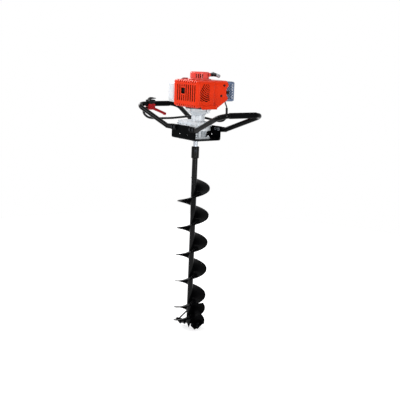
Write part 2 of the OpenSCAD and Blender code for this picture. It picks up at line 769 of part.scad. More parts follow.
module gearbox_upper_case() {
    color(alu) difference() {
        union() {
            translate([0, 0, split_z]) linear_extrude(rim_top - split_z) case_plan(case_r);
            for (e = [0, 1.5]) translate([0, 0, rim_top - 1]) linear_extrude(case_top - rim_top - 1 + e)
                rrect(block_x[0] + e, block_x[1] - e, -block_hw + e, block_hw - e, block_r - e);
        }
        translate([0, 0, split_z - 1]) linear_extrude(roof_z - split_z + 1) case_cave();
        translate([-lay_x, 0, roof_z - 1]) cylinder(h = bearing_w + 1, r = lay_brg_r);
        translate([engine_x, 0, split_z]) cylinder(h = case_top, r = lay_d / 2 + 6);
        for (p = case_screws_at()) translate([p[0], p[1], split_z - 1])
            cylinder(h = case_top, d = case_screw_d + 2 * fit_gap);
        translate([engine_x, 0, case_top - neck_foot_t]) cylinder(h = 20, r = neck_foot_r + fit_gap);
        for (p = neck_screws_at()) translate([p[0], p[1], case_top - 16])
            cylinder(h = 20, d = case_screw_d + 2 * fit_gap);
    }
}

// Places of the screws in the neck's foot, and in the lugs of the clutch housing's rim
function neck_screws_at() = [for (a = [45 : 90 : 315]) [engine_x + neck_screw_ring * cos(a),
    neck_screw_ring * sin(a)]];
function lugs_at() = [for (a = [10 : 90 : 280]) [engine_x + lug_ring * cos(a), lug_ring * sin(a)]];

module case_screws() {
    color(steel) {
        for (p = case_screws_at()) translate([p[0], p[1], rim_top])
            cap_screw(case_screw_d, rim_top - split_z + rim_t - 2);
        for (p = neck_screws_at()) translate([p[0], p[1], case_top - 0.8 * case_screw_d])
            cap_screw(case_screw_d, 10);
        for (p = lugs_at()) translate([p[0], p[1], bell_rim_z - lug_drop]) mirror([0, 0, 1])
            cap_screw(case_screw_d, bell_rim + lug_drop + 10);
    }
}

module clutch_housing() {
    color(alu) difference() {
        translate([engine_x, 0, 0]) union() {
            translate([0, 0, case_top]) rotate_extrude()
                polygon([[lay_brg_r - 3, -neck_foot_t], [neck_foot_r, -neck_foot_t], [neck_foot_r, 0],
                [neck_r - neck_rib_d, 0], [neck_r - neck_rib_d, neck_h - 1], [neck_r, neck_h],
                [bell_r - 2, neck_h + bell_h], [bell_r, neck_h + bell_h],
                    [bell_r, neck_h + bell_h + bell_rim], [lay_brg_r - 3, neck_h + bell_h + bell_rim]]);
            for (i = [0 : neck_ribs - 1]) rotate([0, 0, 360 * i / neck_ribs + 9])
                translate([0, -1.6, case_top - 1]) cube([neck_r - 0.4, 3.2, neck_h + 2]);
        }
        translate([engine_x, 0, neck_brg_z[0]])
            cylinder(h = neck_brg_z[1] + bearing_w - neck_brg_z[0], r = lay_brg_r);
        translate([engine_x, 0, case_top - 2]) cylinder(h = neck_h + 1, r = lay_d / 2 + 4);
        translate([engine_x, 0, drum_z - 2]) cylinder(h = bell_top, r = drum_r + 2);
        translate([engine_x, 0, neck_top]) cylinder(h = 20, r = lay_d / 2 + 4, center = true);
        translate([engine_x, 0, bell_rim_z - 6]) cylinder(h = bell_top, r = bell_r - bell_wall - 6);
        for (p = neck_screws_at()) translate([p[0], p[1], case_top]) {
            cylinder(h = 4 * neck_foot_t, d = case_screw_d + 2 * fit_gap, center = true);
            translate([0, 0, -0.8 * case_screw_d]) cylinder(h = 8, r = 0.8 * case_screw_d + 0.6);
        }
    }
    color(alu) for (p = lugs_at()) translate([p[0], p[1], bell_rim_z - lug_drop]) difference() {
        cylinder(h = bell_rim + lug_drop, r = lug_r);
        translate([0, 0, -1]) cylinder(h = bell_rim + lug_drop + 2, d = case_screw_d + 2 * fit_gap);
        translate([engine_x - p[0], -p[1], lug_drop]) cylinder(h = bell_rim + 2, r = bell_r - 1);
    }
}

module crankcase() {
    color(alu) difference() {
        union() {
            translate([engine_x, 0, bell_top]) cylinder(h = chamber_h, r = chamber_r + chamber_wall);
            translate([engine_x, 0, plate_z - 1]) cylinder(h = barrel_top - plate_z + 1, r = barrel_r);
            translate([engine_x, 0, barrel_top - 1]) cylinder(h = 9, r = 0.55 * barrel_r);
            translate([engine_x, -fin_hw + 3, cyl_z - fin_hw + 3])
                cube([cyl_x - engine_x, 2 * fin_hw - 6, 2 * fin_hw - 6]);
            for (p = lugs_at()) translate([p[0], p[1], bell_top]) cylinder(h = 16, r = lug_r);
        }
        translate([engine_x, 0, bell_top - 1]) cylinder(h = chamber_h - 5, r = chamber_r);
        translate([engine_x, 0, bell_top - 1]) cylinder(h = cover_h + 40, r = crank_d / 2 + run_gap);
        for (p = lugs_at()) translate([p[0], p[1], bell_top - 1])
            cylinder(h = 14, d = case_screw_d + 2 * fit_gap);
    }
}

module cylinder_block() {
    step = (cyl_l - 8) / (fin_n - 1);
    along_x(cyl_x, cyl_x + 4) rrect(-fin_hw + 3, fin_hw - 3, cyl_z - fin_hw + 3, cyl_z + fin_hw - 3, 6);
    translate([cyl_x, 0, cyl_z]) rotate([0, 90, 0]) cylinder(h = cyl_l, r = 0.72 * fin_hw);
    for (i = [0 : fin_n - 1]) along_x(cyl_x + 6 + i * step, cyl_x + 6 + i * step + fin_t)
        rrect(-fin_hw, fin_hw, cyl_z - fin_hw, cyl_z + fin_hw, 12);
    for (s = [-1, 1]) translate([cyl_x + 0.55 * cyl_l, 0, cyl_z]) rotate([s * 90, 0, 0])
        cylinder(h = fin_hw + 2, r = 14);
}

module cylinder_node() {
    color(alu) difference() {
        cylinder_block();
        translate([head_x - 5, 0, cyl_z]) rotate([0, 90, 0]) cylinder(h = 10, r = 5 + fit_gap);
    }
}

module spark_plug() {
    color(white) translate([head_x, 0, cyl_z]) rotate([0, 90, 0]) {
        translate([0, 0, -4.8]) cylinder(h = 5, r = 5);
        translate([0, 0, fit_gap]) cylinder(h = 6, r = 8, $fn = 6);
        translate([0, 0, 5]) cylinder(h = 9, r = 4.5);
    }
}

module plug_cap() {
    color(black) translate([head_x, 0, cyl_z]) difference() {
        union() {
            translate([7, 0, 0]) rotate([0, 90, 0]) cylinder(h = 11, r = 7.5);
            translate([12.5, 0, -24]) cylinder(h = 24, r = 5);
        }
        rotate([0, 90, 0]) cylinder(h = 14 + fit_gap, r = 4.5 + fit_gap);
    }
}

module ignition_coil() {
    x = engine_x - barrel_r - 1;
    color(black) translate([x - 14, -18, plate_z]) {
        cube([14, 36, 26]);
        translate([2, 6, 26]) cube([10, 24, 8]);
    }
}

// Outer body of the covers, drawn in by a wall where asked
module cover_body(w) {
    intersection() {
        soft_box([x_back + w, x_front - w], [-cover_left + w, step_y + cover_step / 2 - w],
            [cover_z + w, cover_top - w], corner_r - w, edge_r - w, face_r - w);
        along_y(-cover_left - 1, cover_right)
            rrect(x_back + w, x_front + 80, cover_z + w, cover_top + 80, face_low_r - w);
    }
}

// Outline of the exhaust side of the main cover, seen from the front
module side_outline() {
    difference() {
        polygon([[-40, cover_z], [step_y + 21, cover_z - 4], [cover_right - 5, cover_z + 35],
            [cover_right, cover_z + 46],
            [cover_right, cover_top], [-40, cover_top]]);
        translate([cover_right + 22, cover_z + 72]) circle(34);
    }
}

module cover_shell() {
    difference() {
        union() {
            cover_body(0);
            intersection() {
                along_x(x_back, x_step) side_outline();
                along_y(-40, cover_right) rrect(x_back, x_step, cover_z - 40, cover_top, face_r);
            }
            cover_skirt(0);
        }
        cover_body(cover_wall);
        along_y(-40, cover_right + 40) rrect(x_back + cover_wall, x_step - cover_wall, cover_z - 50,
            cover_top - cover_wall, face_r - cover_wall);
        translate([x_back + 14, -cover_left + 16, cover_z - 20])
            cube([cover_front + cover_back - 28, cover_left, 30]);
        cover_skirt(cover_wall);
    }
}

// Lip that stands out under the cooling vent
module cover_skirt(w) {
    intersection() {
        soft_box([engine_x + 40, x_front + 0.8 - w], [-cover_left + 19 + w, step_y + 24 - w],
            [cover_z - 5 - 20 * w, cover_z + 13 - w], 12 - w, 5 - w);
        along_x(engine_x, x_front + 10)
            polygon([[-cover_left + 30 + w, cover_z - 6 - 20 * w], [-cover_left + 16 + w, cover_z + 20],
            [step_y + 40, cover_z + 20], [step_y + 22 - w, cover_z - 6 - 20 * w]]);
    }
}

// Round slots of the cooling vent, crossed by bars towards the top
module vent_slots() {
    c = [-12, cover_top - 2];
    d = [-cover_left + 6, cover_top + 2];
    intersection() {
        polygon([[-cover_left + 16, cover_z + 34], [-cover_left + 15, cover_z + 76],
            [-cover_left + 32, cover_z + 107],
            [-20, cover_z + 109], [-17, cover_z + 36], [-36, cover_z + 27]]);
        difference() {
            for (i = [0 : 9]) translate(c) difference() {
                circle(20 + i * vent_step + vent_w);
                circle(20 + i * vent_step);
            }
            intersection() {
                translate([-48, cover_z + 58]) square([40, 60]);
                for (i = [0 : 9]) translate(d) difference() {
                    circle(24 + i * vent_step + 2.2);
                    circle(24 + i * vent_step);
                }
            }
        }
    }
}

// Places of the cover screws on the exhaust side
function cover_screws_at() = [[cover_right - 24, cover_z + 102], [cover_right - 39, cover_z + 55]];

module engine_cover() {
    color(orange) difference() {
        intersection() {
            cover_shell();
            translate([x_back - 50, y_seam, cover_z - 60])
                cube([cover_front + cover_back + 100, cover_left + cover_right + 50, cover_h + 100]);
        }
        along_x(x_front - 2 * cover_wall, x_front + 10) vent_slots();
        translate([engine_x, 0, cover_top - 20]) cylinder(h = 40, r = recoil_r + 1);
        for (p = cover_screws_at()) translate([x_step, p[0], p[1]]) rotate([0, 90, 0]) {
            cylinder(h = 20, d = case_screw_d + 2 * fit_gap, center = true);
            translate([0, 0, -1.2]) cylinder(h = 5, r = 0.8 * case_screw_d + 1.5);
        }
    }
}

module cover_screws() {
    color(steel) for (p = cover_screws_at()) translate([x_step - 1.2, p[0], p[1]]) rotate([0, 90, 0])
        cap_screw(case_screw_d, 5);
}

// One upright slot through the slotted side
module side_slot(x, z0, z1) {
    along_y(-cover_left - 5, -cover_left + 2 * cover_wall) translate([x, z0]) rotate([0, 0, 90])
        pill(slot_w / 2, z1 - z0 - slot_w / 2, slot_w / 2);
}

module air_cleaner_cover() {
    color(orange) difference() {
        intersection() {
            cover_shell();
            translate([x_back - 50, -cover_left - 20, cover_z - 60])
                cube([cover_front + cover_back + 100, 20 + edge_r, cover_h + 100]);
        }
        for (i = [0 : slot_count - 1]) let (x = slot_x0 + i * slot_step) {
            if (x > window_x[0] - slot_w && x < window_x[1] + slot_w / 2 - 1) {
                side_slot(x, slot_z[0], window_z[0] - 4);
                side_slot(x, window_z[1] + 4, slot_z[1]);
            } else {
                side_slot(x, slot_z[0], slot_z[1]);
            }
            for (k = [0, 1]) translate([x, -cover_left + 0.3 * edge_r,
                k == 0 ? cover_z + 0.3 * edge_r : cover_top - 0.3 * edge_r])
                rotate([k == 0 ? -45 : 45, 0, 0]) translate([-0.35 * slot_w, -10, -0.4 * edge_r])
                    cube([0.7 * slot_w, 20, 0.8 * edge_r]);
        }
        along_y(-cover_left - 5, -cover_left + 2 * cover_wall)
            rrect(window_x[0], window_x[1], window_z[0], window_z[1], 3);
    }
}

module air_box() {
    y0 = y_seam + 0.2;
    color(black) {
        difference() {
            along_y(y0, y0 + box_t) rrect(x_back + 8, x_front - 14, cover_z + 20, cover_top - 14, 6);
            for (x = [x_back + 16, x_front - 24], z = [cover_z + 30, cover_top - 24])
                translate([x, y0 - 1, z]) rotate([-90, 0, 0])
                cylinder(h = box_t + 2, r = 2.6);
        }
        translate([choke_x, y0 + 1, choke_z]) rotate([90, 0, 0]) cylinder(h = filter_t + 3, r = pin_r);
        for (s = [-1, 1]) translate([s > 0 ? x_front - 15 : x_back + 3.2, y0, cyl_z - 8])
            cube([s > 0 ? 11.8 : 6, box_t, 16]);
    }
}

module air_filter() {
    y1 = y_seam + 0.2;
    color(black) difference() {
        along_y(y1 - filter_t, y1) rrect(x_back + 10, x_front - 16, cover_z + 22, cover_top - 16, 6);
        along_y(y1 - filter_t - 1, y1 + 1)
            rrect(window_x[0] - 4, window_x[1] + 4, window_z[0] - 4, window_z[1] + 4, 4);
    }
}

module choke_lever() {
    y1 = y_seam + 0.2 - 0.3;
    color(black) translate([choke_x, 0, choke_z]) difference() {
        rotate([0, -60, 0]) union() {
            along_y(y1 - 6, y1) link_bar(11, 6, 4);
            along_y(y1 - 6, y1) circle(6);
            along_y(y1 - 8.6, y1) translate([11, 0]) circle(4);
        }
        translate([0, y1 + 1, 0]) rotate([90, 0, 0]) cylinder(h = 20, r = pin_r + run_gap);
    }
}

module carburettor() {
    y0 = y_seam + 0.2 + box_t;
    y1 = -fin_hw - 2.2;
    x = cyl_x + 0.55 * cyl_l;
    color(alu) {
        translate([x - 20, y0, cyl_z - 19]) cube([40, 22, 38]);
        translate([x, y0 + 1, cyl_z]) rotate([-90, 0, 0]) cylinder(h = y1 - y0 - 1, r = 15);
        translate([x - 10, y0 + 11, cyl_z + 18]) cylinder(h = 9, r = 8);
        translate([x, y0 + 14.5, cyl_z - 27]) cylinder(h = 9, r = 14);
    }
}

// Box of the muffler, drawn in by its wall where asked
module muffler_box(w, y0) {
    soft_box([guard_x[0] + 8 + w, guard_x[1] - 10 - w], [y0 + 8 + w, guard_y[1] - 8 - w],
        [guard_z[0] + 8 + w, guard_z[1] - 8 - w], 10 - w, 8 - w);
}

module muffler() {
    y0 = fin_hw + 2.2;
    x = cyl_x + 0.55 * cyl_l;
    color(steel) difference() {
        union() {
            muffler_box(0, y0);
            translate([x, y0, cyl_z]) rotate([-90, 0, 0]) cylinder(h = 12, r = 13);
            for (s = [-1, 1]) translate([(guard_x[0] + guard_x[1]) / 2 + s * 24, guard_y[1] - 12, cyl_z])
                rotate([-90, 0, 0]) cylinder(h = 12 - guard_t - 0.1, r = 4);
            translate([guard_x[1] - 12, outlet_y, outlet_z]) rotate([0, 90, 0]) cylinder(h = 14, r = 8);
            along_x(guard_x[1] + 0.5, guard_x[1] + 8)
                rrect(outlet_y - 12, outlet_y + 12, outlet_z - 9, outlet_z + 9, 5);
        }
        muffler_box(guard_t, y0);
        translate([x, y0 - 1, cyl_z]) rotate([-90, 0, 0]) cylinder(h = 16, r = 10);
        translate([guard_x[1] - 20, outlet_y, outlet_z]) rotate([0, 90, 0]) cylinder(h = 24, r = 5.5);
        along_x(guard_x[1] + 3, guard_x[1] + 9)
            rrect(outlet_y - 9.5, outlet_y + 9.5, outlet_z - 6.5, outlet_z + 6.5, 3);
    }
}

// Staggered holes over a panel
module hole_field(w, h) {
    nx = floor(w / guard_step);
    nz = floor(2 * h / guard_step);
    for (j = [0 : nz], i = [0 : nx - (j % 2)])
        translate([(i - nx / 2 + (j % 2) / 2) * guard_step, (j - nz / 2) * guard_step / 2])
        rotate(45) square(guard_hole_d / sqrt(2), center = true);
}

module muffler_guard() {
    w = guard_t;
    color(steel) difference() {
        soft_box(guard_x, guard_y, guard_z, guard_r, guard_edge, guard_r);
        soft_box(guard_x + [w, -w], [guard_y[0] - 30, guard_y[1] - w], guard_z + [w, -w], guard_r - w,
            guard_edge - w, guard_r - w);
        translate([guard_x[0] - 1, guard_y[0] - 1, guard_z[0] - 1])
            cube([guard_x[1] - guard_x[0] + 2, guard_r, guard_z[1] - guard_z[0] + 2]);
        along_x(guard_x[1] - 4, guard_x[1] + 4) difference() {
            translate([(guard_y[0] + guard_y[1]) / 2 + 4, (guard_z[0] + guard_z[1]) / 2])
                hole_field(guard_y[1] - guard_y[0] - 2 * guard_r - 9,
                    guard_z[1] - guard_z[0] - 2 * guard_r - 4);
            translate([outlet_y, outlet_z]) circle(13);
        }
        along_x(guard_x[1] - 4, guard_x[1] + 4) translate([outlet_y, outlet_z]) circle(8 + move_gap);
        along_y(guard_y[1] - 4, guard_y[1] + 4) difference() {
            translate([(guard_x[0] + guard_x[1]) / 2, (guard_z[0] + guard_z[1]) / 2])
                hole_field(guard_x[1] - guard_x[0] - 2 * guard_r - 6,
                    guard_z[1] - guard_z[0] - 2 * guard_r - 4);
            for (s = [-1, 1]) translate([(guard_x[0] + guard_x[1]) / 2 + s * 24, cyl_z]) circle(9);
        }
    }
}

module fuel_tank() {
    color(white) difference() {
        union() {
            soft_box([tank_x - tank_w, tank_x], [tank_y, tank_y + tank_l], [tank_z, tank_z + tank_h],
                tank_r, tank_r);
            translate([0, 0, tank_z + 0.5 * tank_h]) linear_extrude(2)
                rrect(tank_x - tank_w - 1.2, tank_x - 4, tank_y - 1.2, tank_y + tank_l + 1.2, tank_r);
            translate([cap_x, cap_y, cap_z - 2]) cylinder(h = 12, r = neck_cap_r);
        }
        translate([cap_x, cap_y, cap_z - 6]) cylinder(h = 30, r = neck_cap_r - 2.5);
    }
}

module fuel_cap() {
    color("#a01018") translate([cap_x, cap_y, cap_z + 1]) {
        difference() {
            union() {
                rotate_extrude() polygon([[0, 0], [cap_r - 1.5, 0], [cap_r - 1.5, cap_h - 4],
                    [cap_r - 5, cap_h], [0, cap_h]]);
                for (a = [0 : 18 : 342]) rotate([0, 0, a]) translate([cap_r - 1.8, 0, 0])
                    cylinder(h = cap_h - 5, r = 1.8, $fn = 16);
            }
            translate([0, 0, -1]) cylinder(h = 11.5, r = neck_cap_r + run_gap);
        }
    }
}

module recoil_housing() {
    r = recoil_r;
    w = recoil_wall;
    color(orange) difference() {
        union() {
            translate([engine_x, 0, cover_top]) rotate_extrude()
                polygon([[0, recoil_h - w], [r - w, recoil_h - w], [r - w, 0],
                [r + recoil_foot, 0], [r + recoil_foot, recoil_foot_t - 2],
                    [r + recoil_foot - 2, recoil_foot_t], [r + 1, recoil_foot_t],
                [r, recoil_foot_t + 1], [r, recoil_h - 5], [r - 1.5, recoil_h - 1.5], [r - 5, recoil_h],
                    [0, recoil_h]]);
            translate([engine_x, 0, rope_z - pulley_w / 2 - 1])
                cylinder(h = recoil_top - 1 - rope_z + pulley_w / 2 + 1, r = post_r);
            translate([engine_x, 0, rope_z + pulley_w / 2 + move_gap])
                cylinder(h = recoil_top - 1 - rope_z - pulley_w / 2 - move_gap, r = post_r + 6);
            translate([rope_x, guide_y - 8, rope_z]) rotate([-90, 0, 0])
                cylinder(h = 8 + guide_boss, r = 9);
        }
        for (g = [0 : 120 : 240], a = [-19, -6.3, 6.3, 19]) translate([engine_x, 0, 0])
            rotate([0, 0, -37.5 + g + a])
            translate([r - w - 4, -2.3, cover_top + 9]) cube([w + 10, 4.6, recoil_h - 18]);
        translate([engine_x, 0, cover_top]) intersection() {
            difference() {
                cylinder(h = recoil_h - w, r = r - w);
                translate([0, 0, -1]) cylinder(h = recoil_h, r = post_r + 7);
            }
            translate([0, 0, -1]) cylinder(h = recoil_h, r = r);
        }
        translate([rope_x, guide_y - 20, rope_z]) rotate([-90, 0, 0]) cylinder(h = 40, r = 5 + fit_gap);
    }
}

// Places a shape on the rope's way out of the drum, a length ahead of the drum's side
module at_guide(y) {
    translate([rope_x, guide_y + y, rope_z]) rotate([-90, 0, 0]) children();
}

module rope_guide() {
    color(black) difference() {
        union() {
            at_guide(-4) cylinder(h = guide_l + 2, r = 5);
            difference() {
                at_guide(guide_boss + fit_gap) cylinder(h = guide_l - guide_boss - fit_gap, r = 8);
                translate([engine_x, 0, cover_top]) cylinder(h = recoil_h, r = recoil_r + fit_gap);
            }
        }
        at_guide(-20) cylinder(h = 60, r = rope_d / 2 + move_gap);
    }
}

module starter_rope() {
    color(white) translate([rope_x, 0, rope_z]) rotate([-90, 0, 0])
        cylinder(h = pull_y + 4, d = rope_d, $fn = 24);
}

module starter_handle() {
    color(steel) translate([rope_x, pull_y, rope_z]) difference() {
        rotate([0, pull_tilt, 0]) union() {
            rotate([-90, 0, 0]) rotate_extrude()
                polygon([[0, 0], [7, 0], [8.5, pull_stem + 4], [0, pull_stem + 4]]);
            translate([0, pull_stem + 4, 0]) rotate([0, 90, 0]) rotate_extrude()
                polygon([[0, -pull_l / 2], [6, -pull_l / 2], [8, -pull_l / 2 + 3],
                [7, 0], [8, pull_l / 2 - 3], [6, pull_l / 2], [0, pull_l / 2]]);
        }
        translate([0, -1, 0]) rotate([-90, 0, 0]) cylinder(h = 5.5, d = rope_d + 2 * fit_gap);
    }
}

module starter_pulley() {
    r = rope_r - rope_d / 2;
    color(black) translate([engine_x, 0, rope_z - pulley_w / 2]) rotate_extrude()
        polygon([[post_r + run_gap, 0], [r + 5, 0], [r + 5, 2],
        [r - 0.3, 4], [r - 0.3, pulley_w - 4], [r + 5, pulley_w - 2], [r + 5, pulley_w],
            [post_r + run_gap, pulley_w]]);
}

module crankshaft() {
    color(steel) translate([engine_x, 0, 0]) {
        translate([0, 0, drum_z + drum_wall + 2])
            cylinder(h = crank_top - drum_z - drum_wall - 2, d = crank_d);
    }
}

module flywheel() {
    color(alu) translate([engine_x, 0, fan_z]) difference() {
        union() {
            cylinder(h = fan_disc, r = flywheel_r);
            cylinder(h = fan_disc + fan_blade, r = crank_d / 2 + 8);
            for (a = [0 : 20 : 340]) rotate([0, 0, a]) translate([crank_d / 2 + 16, 0, 0]) rotate([0, 0, 18])
                translate([0, -1.2, 0]) cube([flywheel_r - crank_d / 2 - 18, 2.4, fan_disc + fan_blade]);
        }
        translate([0, 0, -1]) cylinder(h = fan_disc + fan_blade + 2, r = crank_d / 2 + run_gap);
    }
}

module clutch_shoes() {
    r = drum_r - drum_wall - 1.2;
    color(steel) translate([engine_x, 0, drum_z + drum_wall + 2]) difference() {
        cylinder(h = drum_h - 6, r = r);
        translate([0, 0, -1]) cylinder(h = drum_h, r = crank_d / 2 + run_gap);
        for (s = [-1, 1]) translate([s * (r / 2 + 7) - r / 2, -1, -1]) cube([r, 2, drum_h]);
        for (s = [-1, 1]) translate([0, s * 0.62 * r, -1]) cylinder(h = drum_h, r = 2.2);
    }
}

module frame_bracket() {
    w = frame_w / 2;
    color(paint) difference() {
        intersection() {
            along_x(-frame_l / 2, frame_l / 2) difference() {
                rrect(-w, w, frame_z, frame_top + 2 * bend_r, bend_r);
                rrect(-w + plate_t, w - plate_t, case_z, frame_top + 3 * bend_r, bend_r - plate_t);
                translate([-w - 1, frame_top]) square([2 * w + 2, 4 * bend_r]);
            }
            along_y(-w - 1, w + 1) rrect(-frame_l / 2, frame_l / 2, frame_z - 40, frame_top, plate_corner);
        }
        translate([0, 0, frame_z - 1]) cylinder(h = plate_t + 2, r = shaft_hole_r);
        for (x = foot_x, y = [-foot_y, foot_y]) translate([x, y, frame_z - 1])
            cylinder(h = plate_t + 2, d = foot_bolt_d + 2 * bolt_gap);
        for (s = [-1, 1], x = tab_bolt_x) translate([s * x, 0, handle_z]) rotate([90, 0, 0])
            cylinder(h = 2 * frame_w, d = handle_bolt_d + 2 * bolt_gap, center = true);
        for (s = [-1, 1]) translate([s * spare_l / 2, 0, frame_z + spare_h]) rotate([90, 0, 0])
            cylinder(h = 2 * frame_w, d = spare_d, center = true);
    }
}

module gearbox_bolts() {
    color(steel) for (x = foot_x, y = [-foot_y, foot_y]) translate([x, y, frame_z]) mirror([0, 0, 1]) {
        hex_bolt(foot_bolt_d, plate_t + foot_t + nut_h + 2);
        translate([0, 0, -plate_t - foot_t - nut_h]) cylinder(h = nut_h, r = 0.95 * foot_bolt_d, $fn = 6);
    }
}

// One leg of a handle loop on the +Y side, with its bend and its flattened end
module half_loop() {
    w = frame_w / 2;
    translate([handle_x, 0, handle_z]) rotate([0, -slope_a, 0]) {
        translate([0, handle_y, 0]) rotate([0, 0, spread_a]) rotate([0, 90, 0])
            translate([0, 0, 1.4]) cylinder(h = leg_l + joint_l - 1.4, d = handle_d - joint_d);
        translate([loop_s - loop_r, bar_half, 0]) rotate_extrude(angle = turn_a) translate([loop_r, 0])
            circle(d = handle_d);
    }
    difference() {
        along_y(w, w + tab_t) rrect(frame_l / 2 - tab_l, frame_l / 2 + 4, frame_top - tab_h, frame_top, 7);
        for (x = tab_bolt_x) translate([x, w, handle_z]) rotate([90, 0, 0])
            cylinder(h = 3 * tab_t, d = handle_bolt_d + 2 * bolt_gap, center = true);
    }
    hull() {
        translate([frame_l / 2 - 1, w + 0.2, frame_top - tab_h + 1]) cube([2, tab_t - 0.4, tab_h - 2]);
        translate([handle_x, handle_y, handle_z]) rotate([0, -slope_a, 0]) rotate([0, 0, spread_a])
            rotate([0, 90, 0])
            translate([0, 0, 1]) cylinder(h = 1, d = handle_d + 1.4, $fn = 32);
    }
}

module handle_loop() {
    for (k = [0, 1]) mirror([0, k, 0]) half_loop();
    translate([loop_x, 0, loop_z]) rotate([-90, 0, 0])
        cylinder(h = 2 * (bar_half + joint_l), d = handle_d - joint_d, center = true);
}

module right_handle() {
    color(black) handle_loop();
}

module left_handle() {
    color(black) mirror([1, 0, 0]) handle_loop();
}

module grip(x, y0, y1) {
    color(black) translate([x, 0, loop_z]) rotate([-90, 0, 0]) translate([0, 0, y0]) difference() {
        rotate_extrude() polygon([[handle_d / 2 + fit_gap, 0], [handle_d / 2 + grip_wall, 0],
            [handle_d / 2 + grip_wall, y1 - y0],
            [handle_d / 2 + fit_gap, y1 - y0]]);
    }
}

module right_grip() {
    grip(loop_x, -bar_half, bar_half);
}

module left_grip() {
    grip(-loop_x, throttle_y + throttle_l / 2 + 2, bar_half);
}

module handle_bolts() {
    color(steel) for (sx = [-1, 1], sy = [-1, 1], x = tab_bolt_x)
        translate([sx * x, sy * (frame_w / 2 + tab_t), handle_z])
        rotate([-sy * 90, 0, 0]) hex_bolt(handle_bolt_d, tab_t + plate_t + nut_h + 1);
}

module handle_nuts() {
    color(steel) for (sx = [-1, 1], sy = [-1, 1], x = tab_bolt_x)
        translate([sx * x, sy * (frame_w / 2 - plate_t), handle_z])
        rotate([sy * 90, 0, 0]) difference() {
            cylinder(h = nut_h, r = 0.95 * handle_bolt_d, $fn = 6);
            translate([0, 0, -1]) cylinder(h = nut_h + 2, d = handle_bolt_d + 2 * fit_gap);
        }
}

// Puts a child on the left grip bar's axis at the throttle
module at_throttle() {
    translate([-loop_x, throttle_y, loop_z]) children();
}

module throttle_bar_hole() {
    rotate([90, 0, 0]) cylinder(h = 2 * throttle_l, r = handle_d / 2 + fit_gap, center = true);
}

module throttle_body() {
    h = throttle_l / 2;
    color(red) at_throttle() {
        difference() {
            intersection() {
                soft_box([-throttle_hw, throttle_hw], [-h, h], [-throttle_low, throttle_low], 6, 6);
                translate([-50, -50, -60]) cube([100, 100, 60]);
            }
            throttle_bar_hole();
            translate([-lever_w / 2 - move_gap, lever_y - lever_hub - 1.5, -throttle_low - 1])
                cube([lever_w + 2 * move_gap, throttle_l, throttle_low + 1 + lever_z + lever_hub + 1]);
            for (x = [-screw_x, screw_x], y = [-screw_y, screw_y]) translate([x, y, -14])
                cylinder(h = 20, r = 2 + fit_gap);
        }
        translate([0, lever_y, lever_z]) rotate([0, 90, 0])
            cylinder(h = lever_w + 4, r = pin_r, center = true);
    }
}

module throttle_clamp() {
    h = throttle_l / 2;
    color(black) at_throttle() {
        difference() {
            intersection() {
                soft_box([-throttle_hw, throttle_hw], [-h, h], [-throttle_top, throttle_top], 6, 6);
                translate([-50, -50, 0]) cube([100, 100, 60]);
            }
            throttle_bar_hole();
            translate([-lock_w / 2 - move_gap, -h - 1, lock_z - lock_hub - move_gap])
                cube([lock_w + 2 * move_gap, throttle_l + 2, 40]);
            for (x = [-screw_x, screw_x], y = [-screw_y, screw_y]) translate([x, y, -1]) {
                cylinder(h = 40, r = 2 + fit_gap);
                translate([0, 0, 9]) cylinder(h = 40, r = 3.4);
            }
            translate([-throttle_hw - 1, -8.2, 3.8]) cube([3, 16.4, 6.4]);
        }
        translate([0, lock_y, lock_z]) rotate([0, 90, 0]) cylinder(h = lock_w + 4, r = 2, center = true);
    }
}

module throttle_screws() {
    color(steel) at_throttle() for (x = [-screw_x, screw_x], y = [-screw_y, screw_y])
        translate([x, y, 8]) cap_screw(4, 20);
}

module throttle_lever() {
    color(red) at_throttle() translate([0, lever_y, lever_z]) difference() {
        rotate([-lever_a, 0, 0]) union() {
            along_x(-lever_w / 2, lever_w / 2) link_bar(lever_l, lever_hub, lever_tip);
            rotate([0, 90, 0]) cylinder(h = lever_w, r = lever_hub, center = true);
            translate([0, lever_l - 4, -1.5]) rotate([0, 90, 0])
                cylinder(h = lever_w, r = lever_tip + 1, center = true);
        }
        rotate([0, 90, 0]) cylinder(h = 2 * lever_w, r = pin_r + run_gap, center = true);
    }
}

module lock_lever() {
    color(black) at_throttle() translate([0, lock_y, lock_z]) difference() {
        union() {
            rotate([0, 90, 0]) cylinder(h = lock_w, r = lock_hub, center = true);
            along_x(-lock_w / 2, lock_w / 2)
                polygon([[-3.2, 0], [-2, 9], [6, 14.5], [17, 14.5], [39, 10.5], [39.5, 7.5], [20, 5.5],
                [10, 5], [2.6, -1.6]]);
        }
        rotate([0, 90, 0]) cylinder(h = 2 * lock_w, r = 2 + run_gap, center = true);
    }
}

module stop_switch() {
    color(red) at_throttle() {
        translate([-throttle_hw + 0.3, -8, 4.1]) cube([1.5, 10, 5.8]);
        translate([-throttle_hw - 2.5, -5.5, 4.6]) cube([3, 5, 4.8]);
    }
}

module throttle_cable() {
    color(black) {
        sweep(smooth(loom_route, 3), loom_d / 2);
        sweep(smooth(tail_route, 4), cable_d / 2);
    }
}

// Ferrule that takes the bare cable at the engine
module cable_ferrule() {
    color(black) translate(tail_route[len(tail_route) - 1] + [0, 0, fit_gap]) rotate_extrude()
        polygon([[0, 0], [4.2, 0], [4.2, 5], [3.3, 5.6], [3.3, 7.4], [4.2, 8], [4.2, 12], [0, 12]]);
}

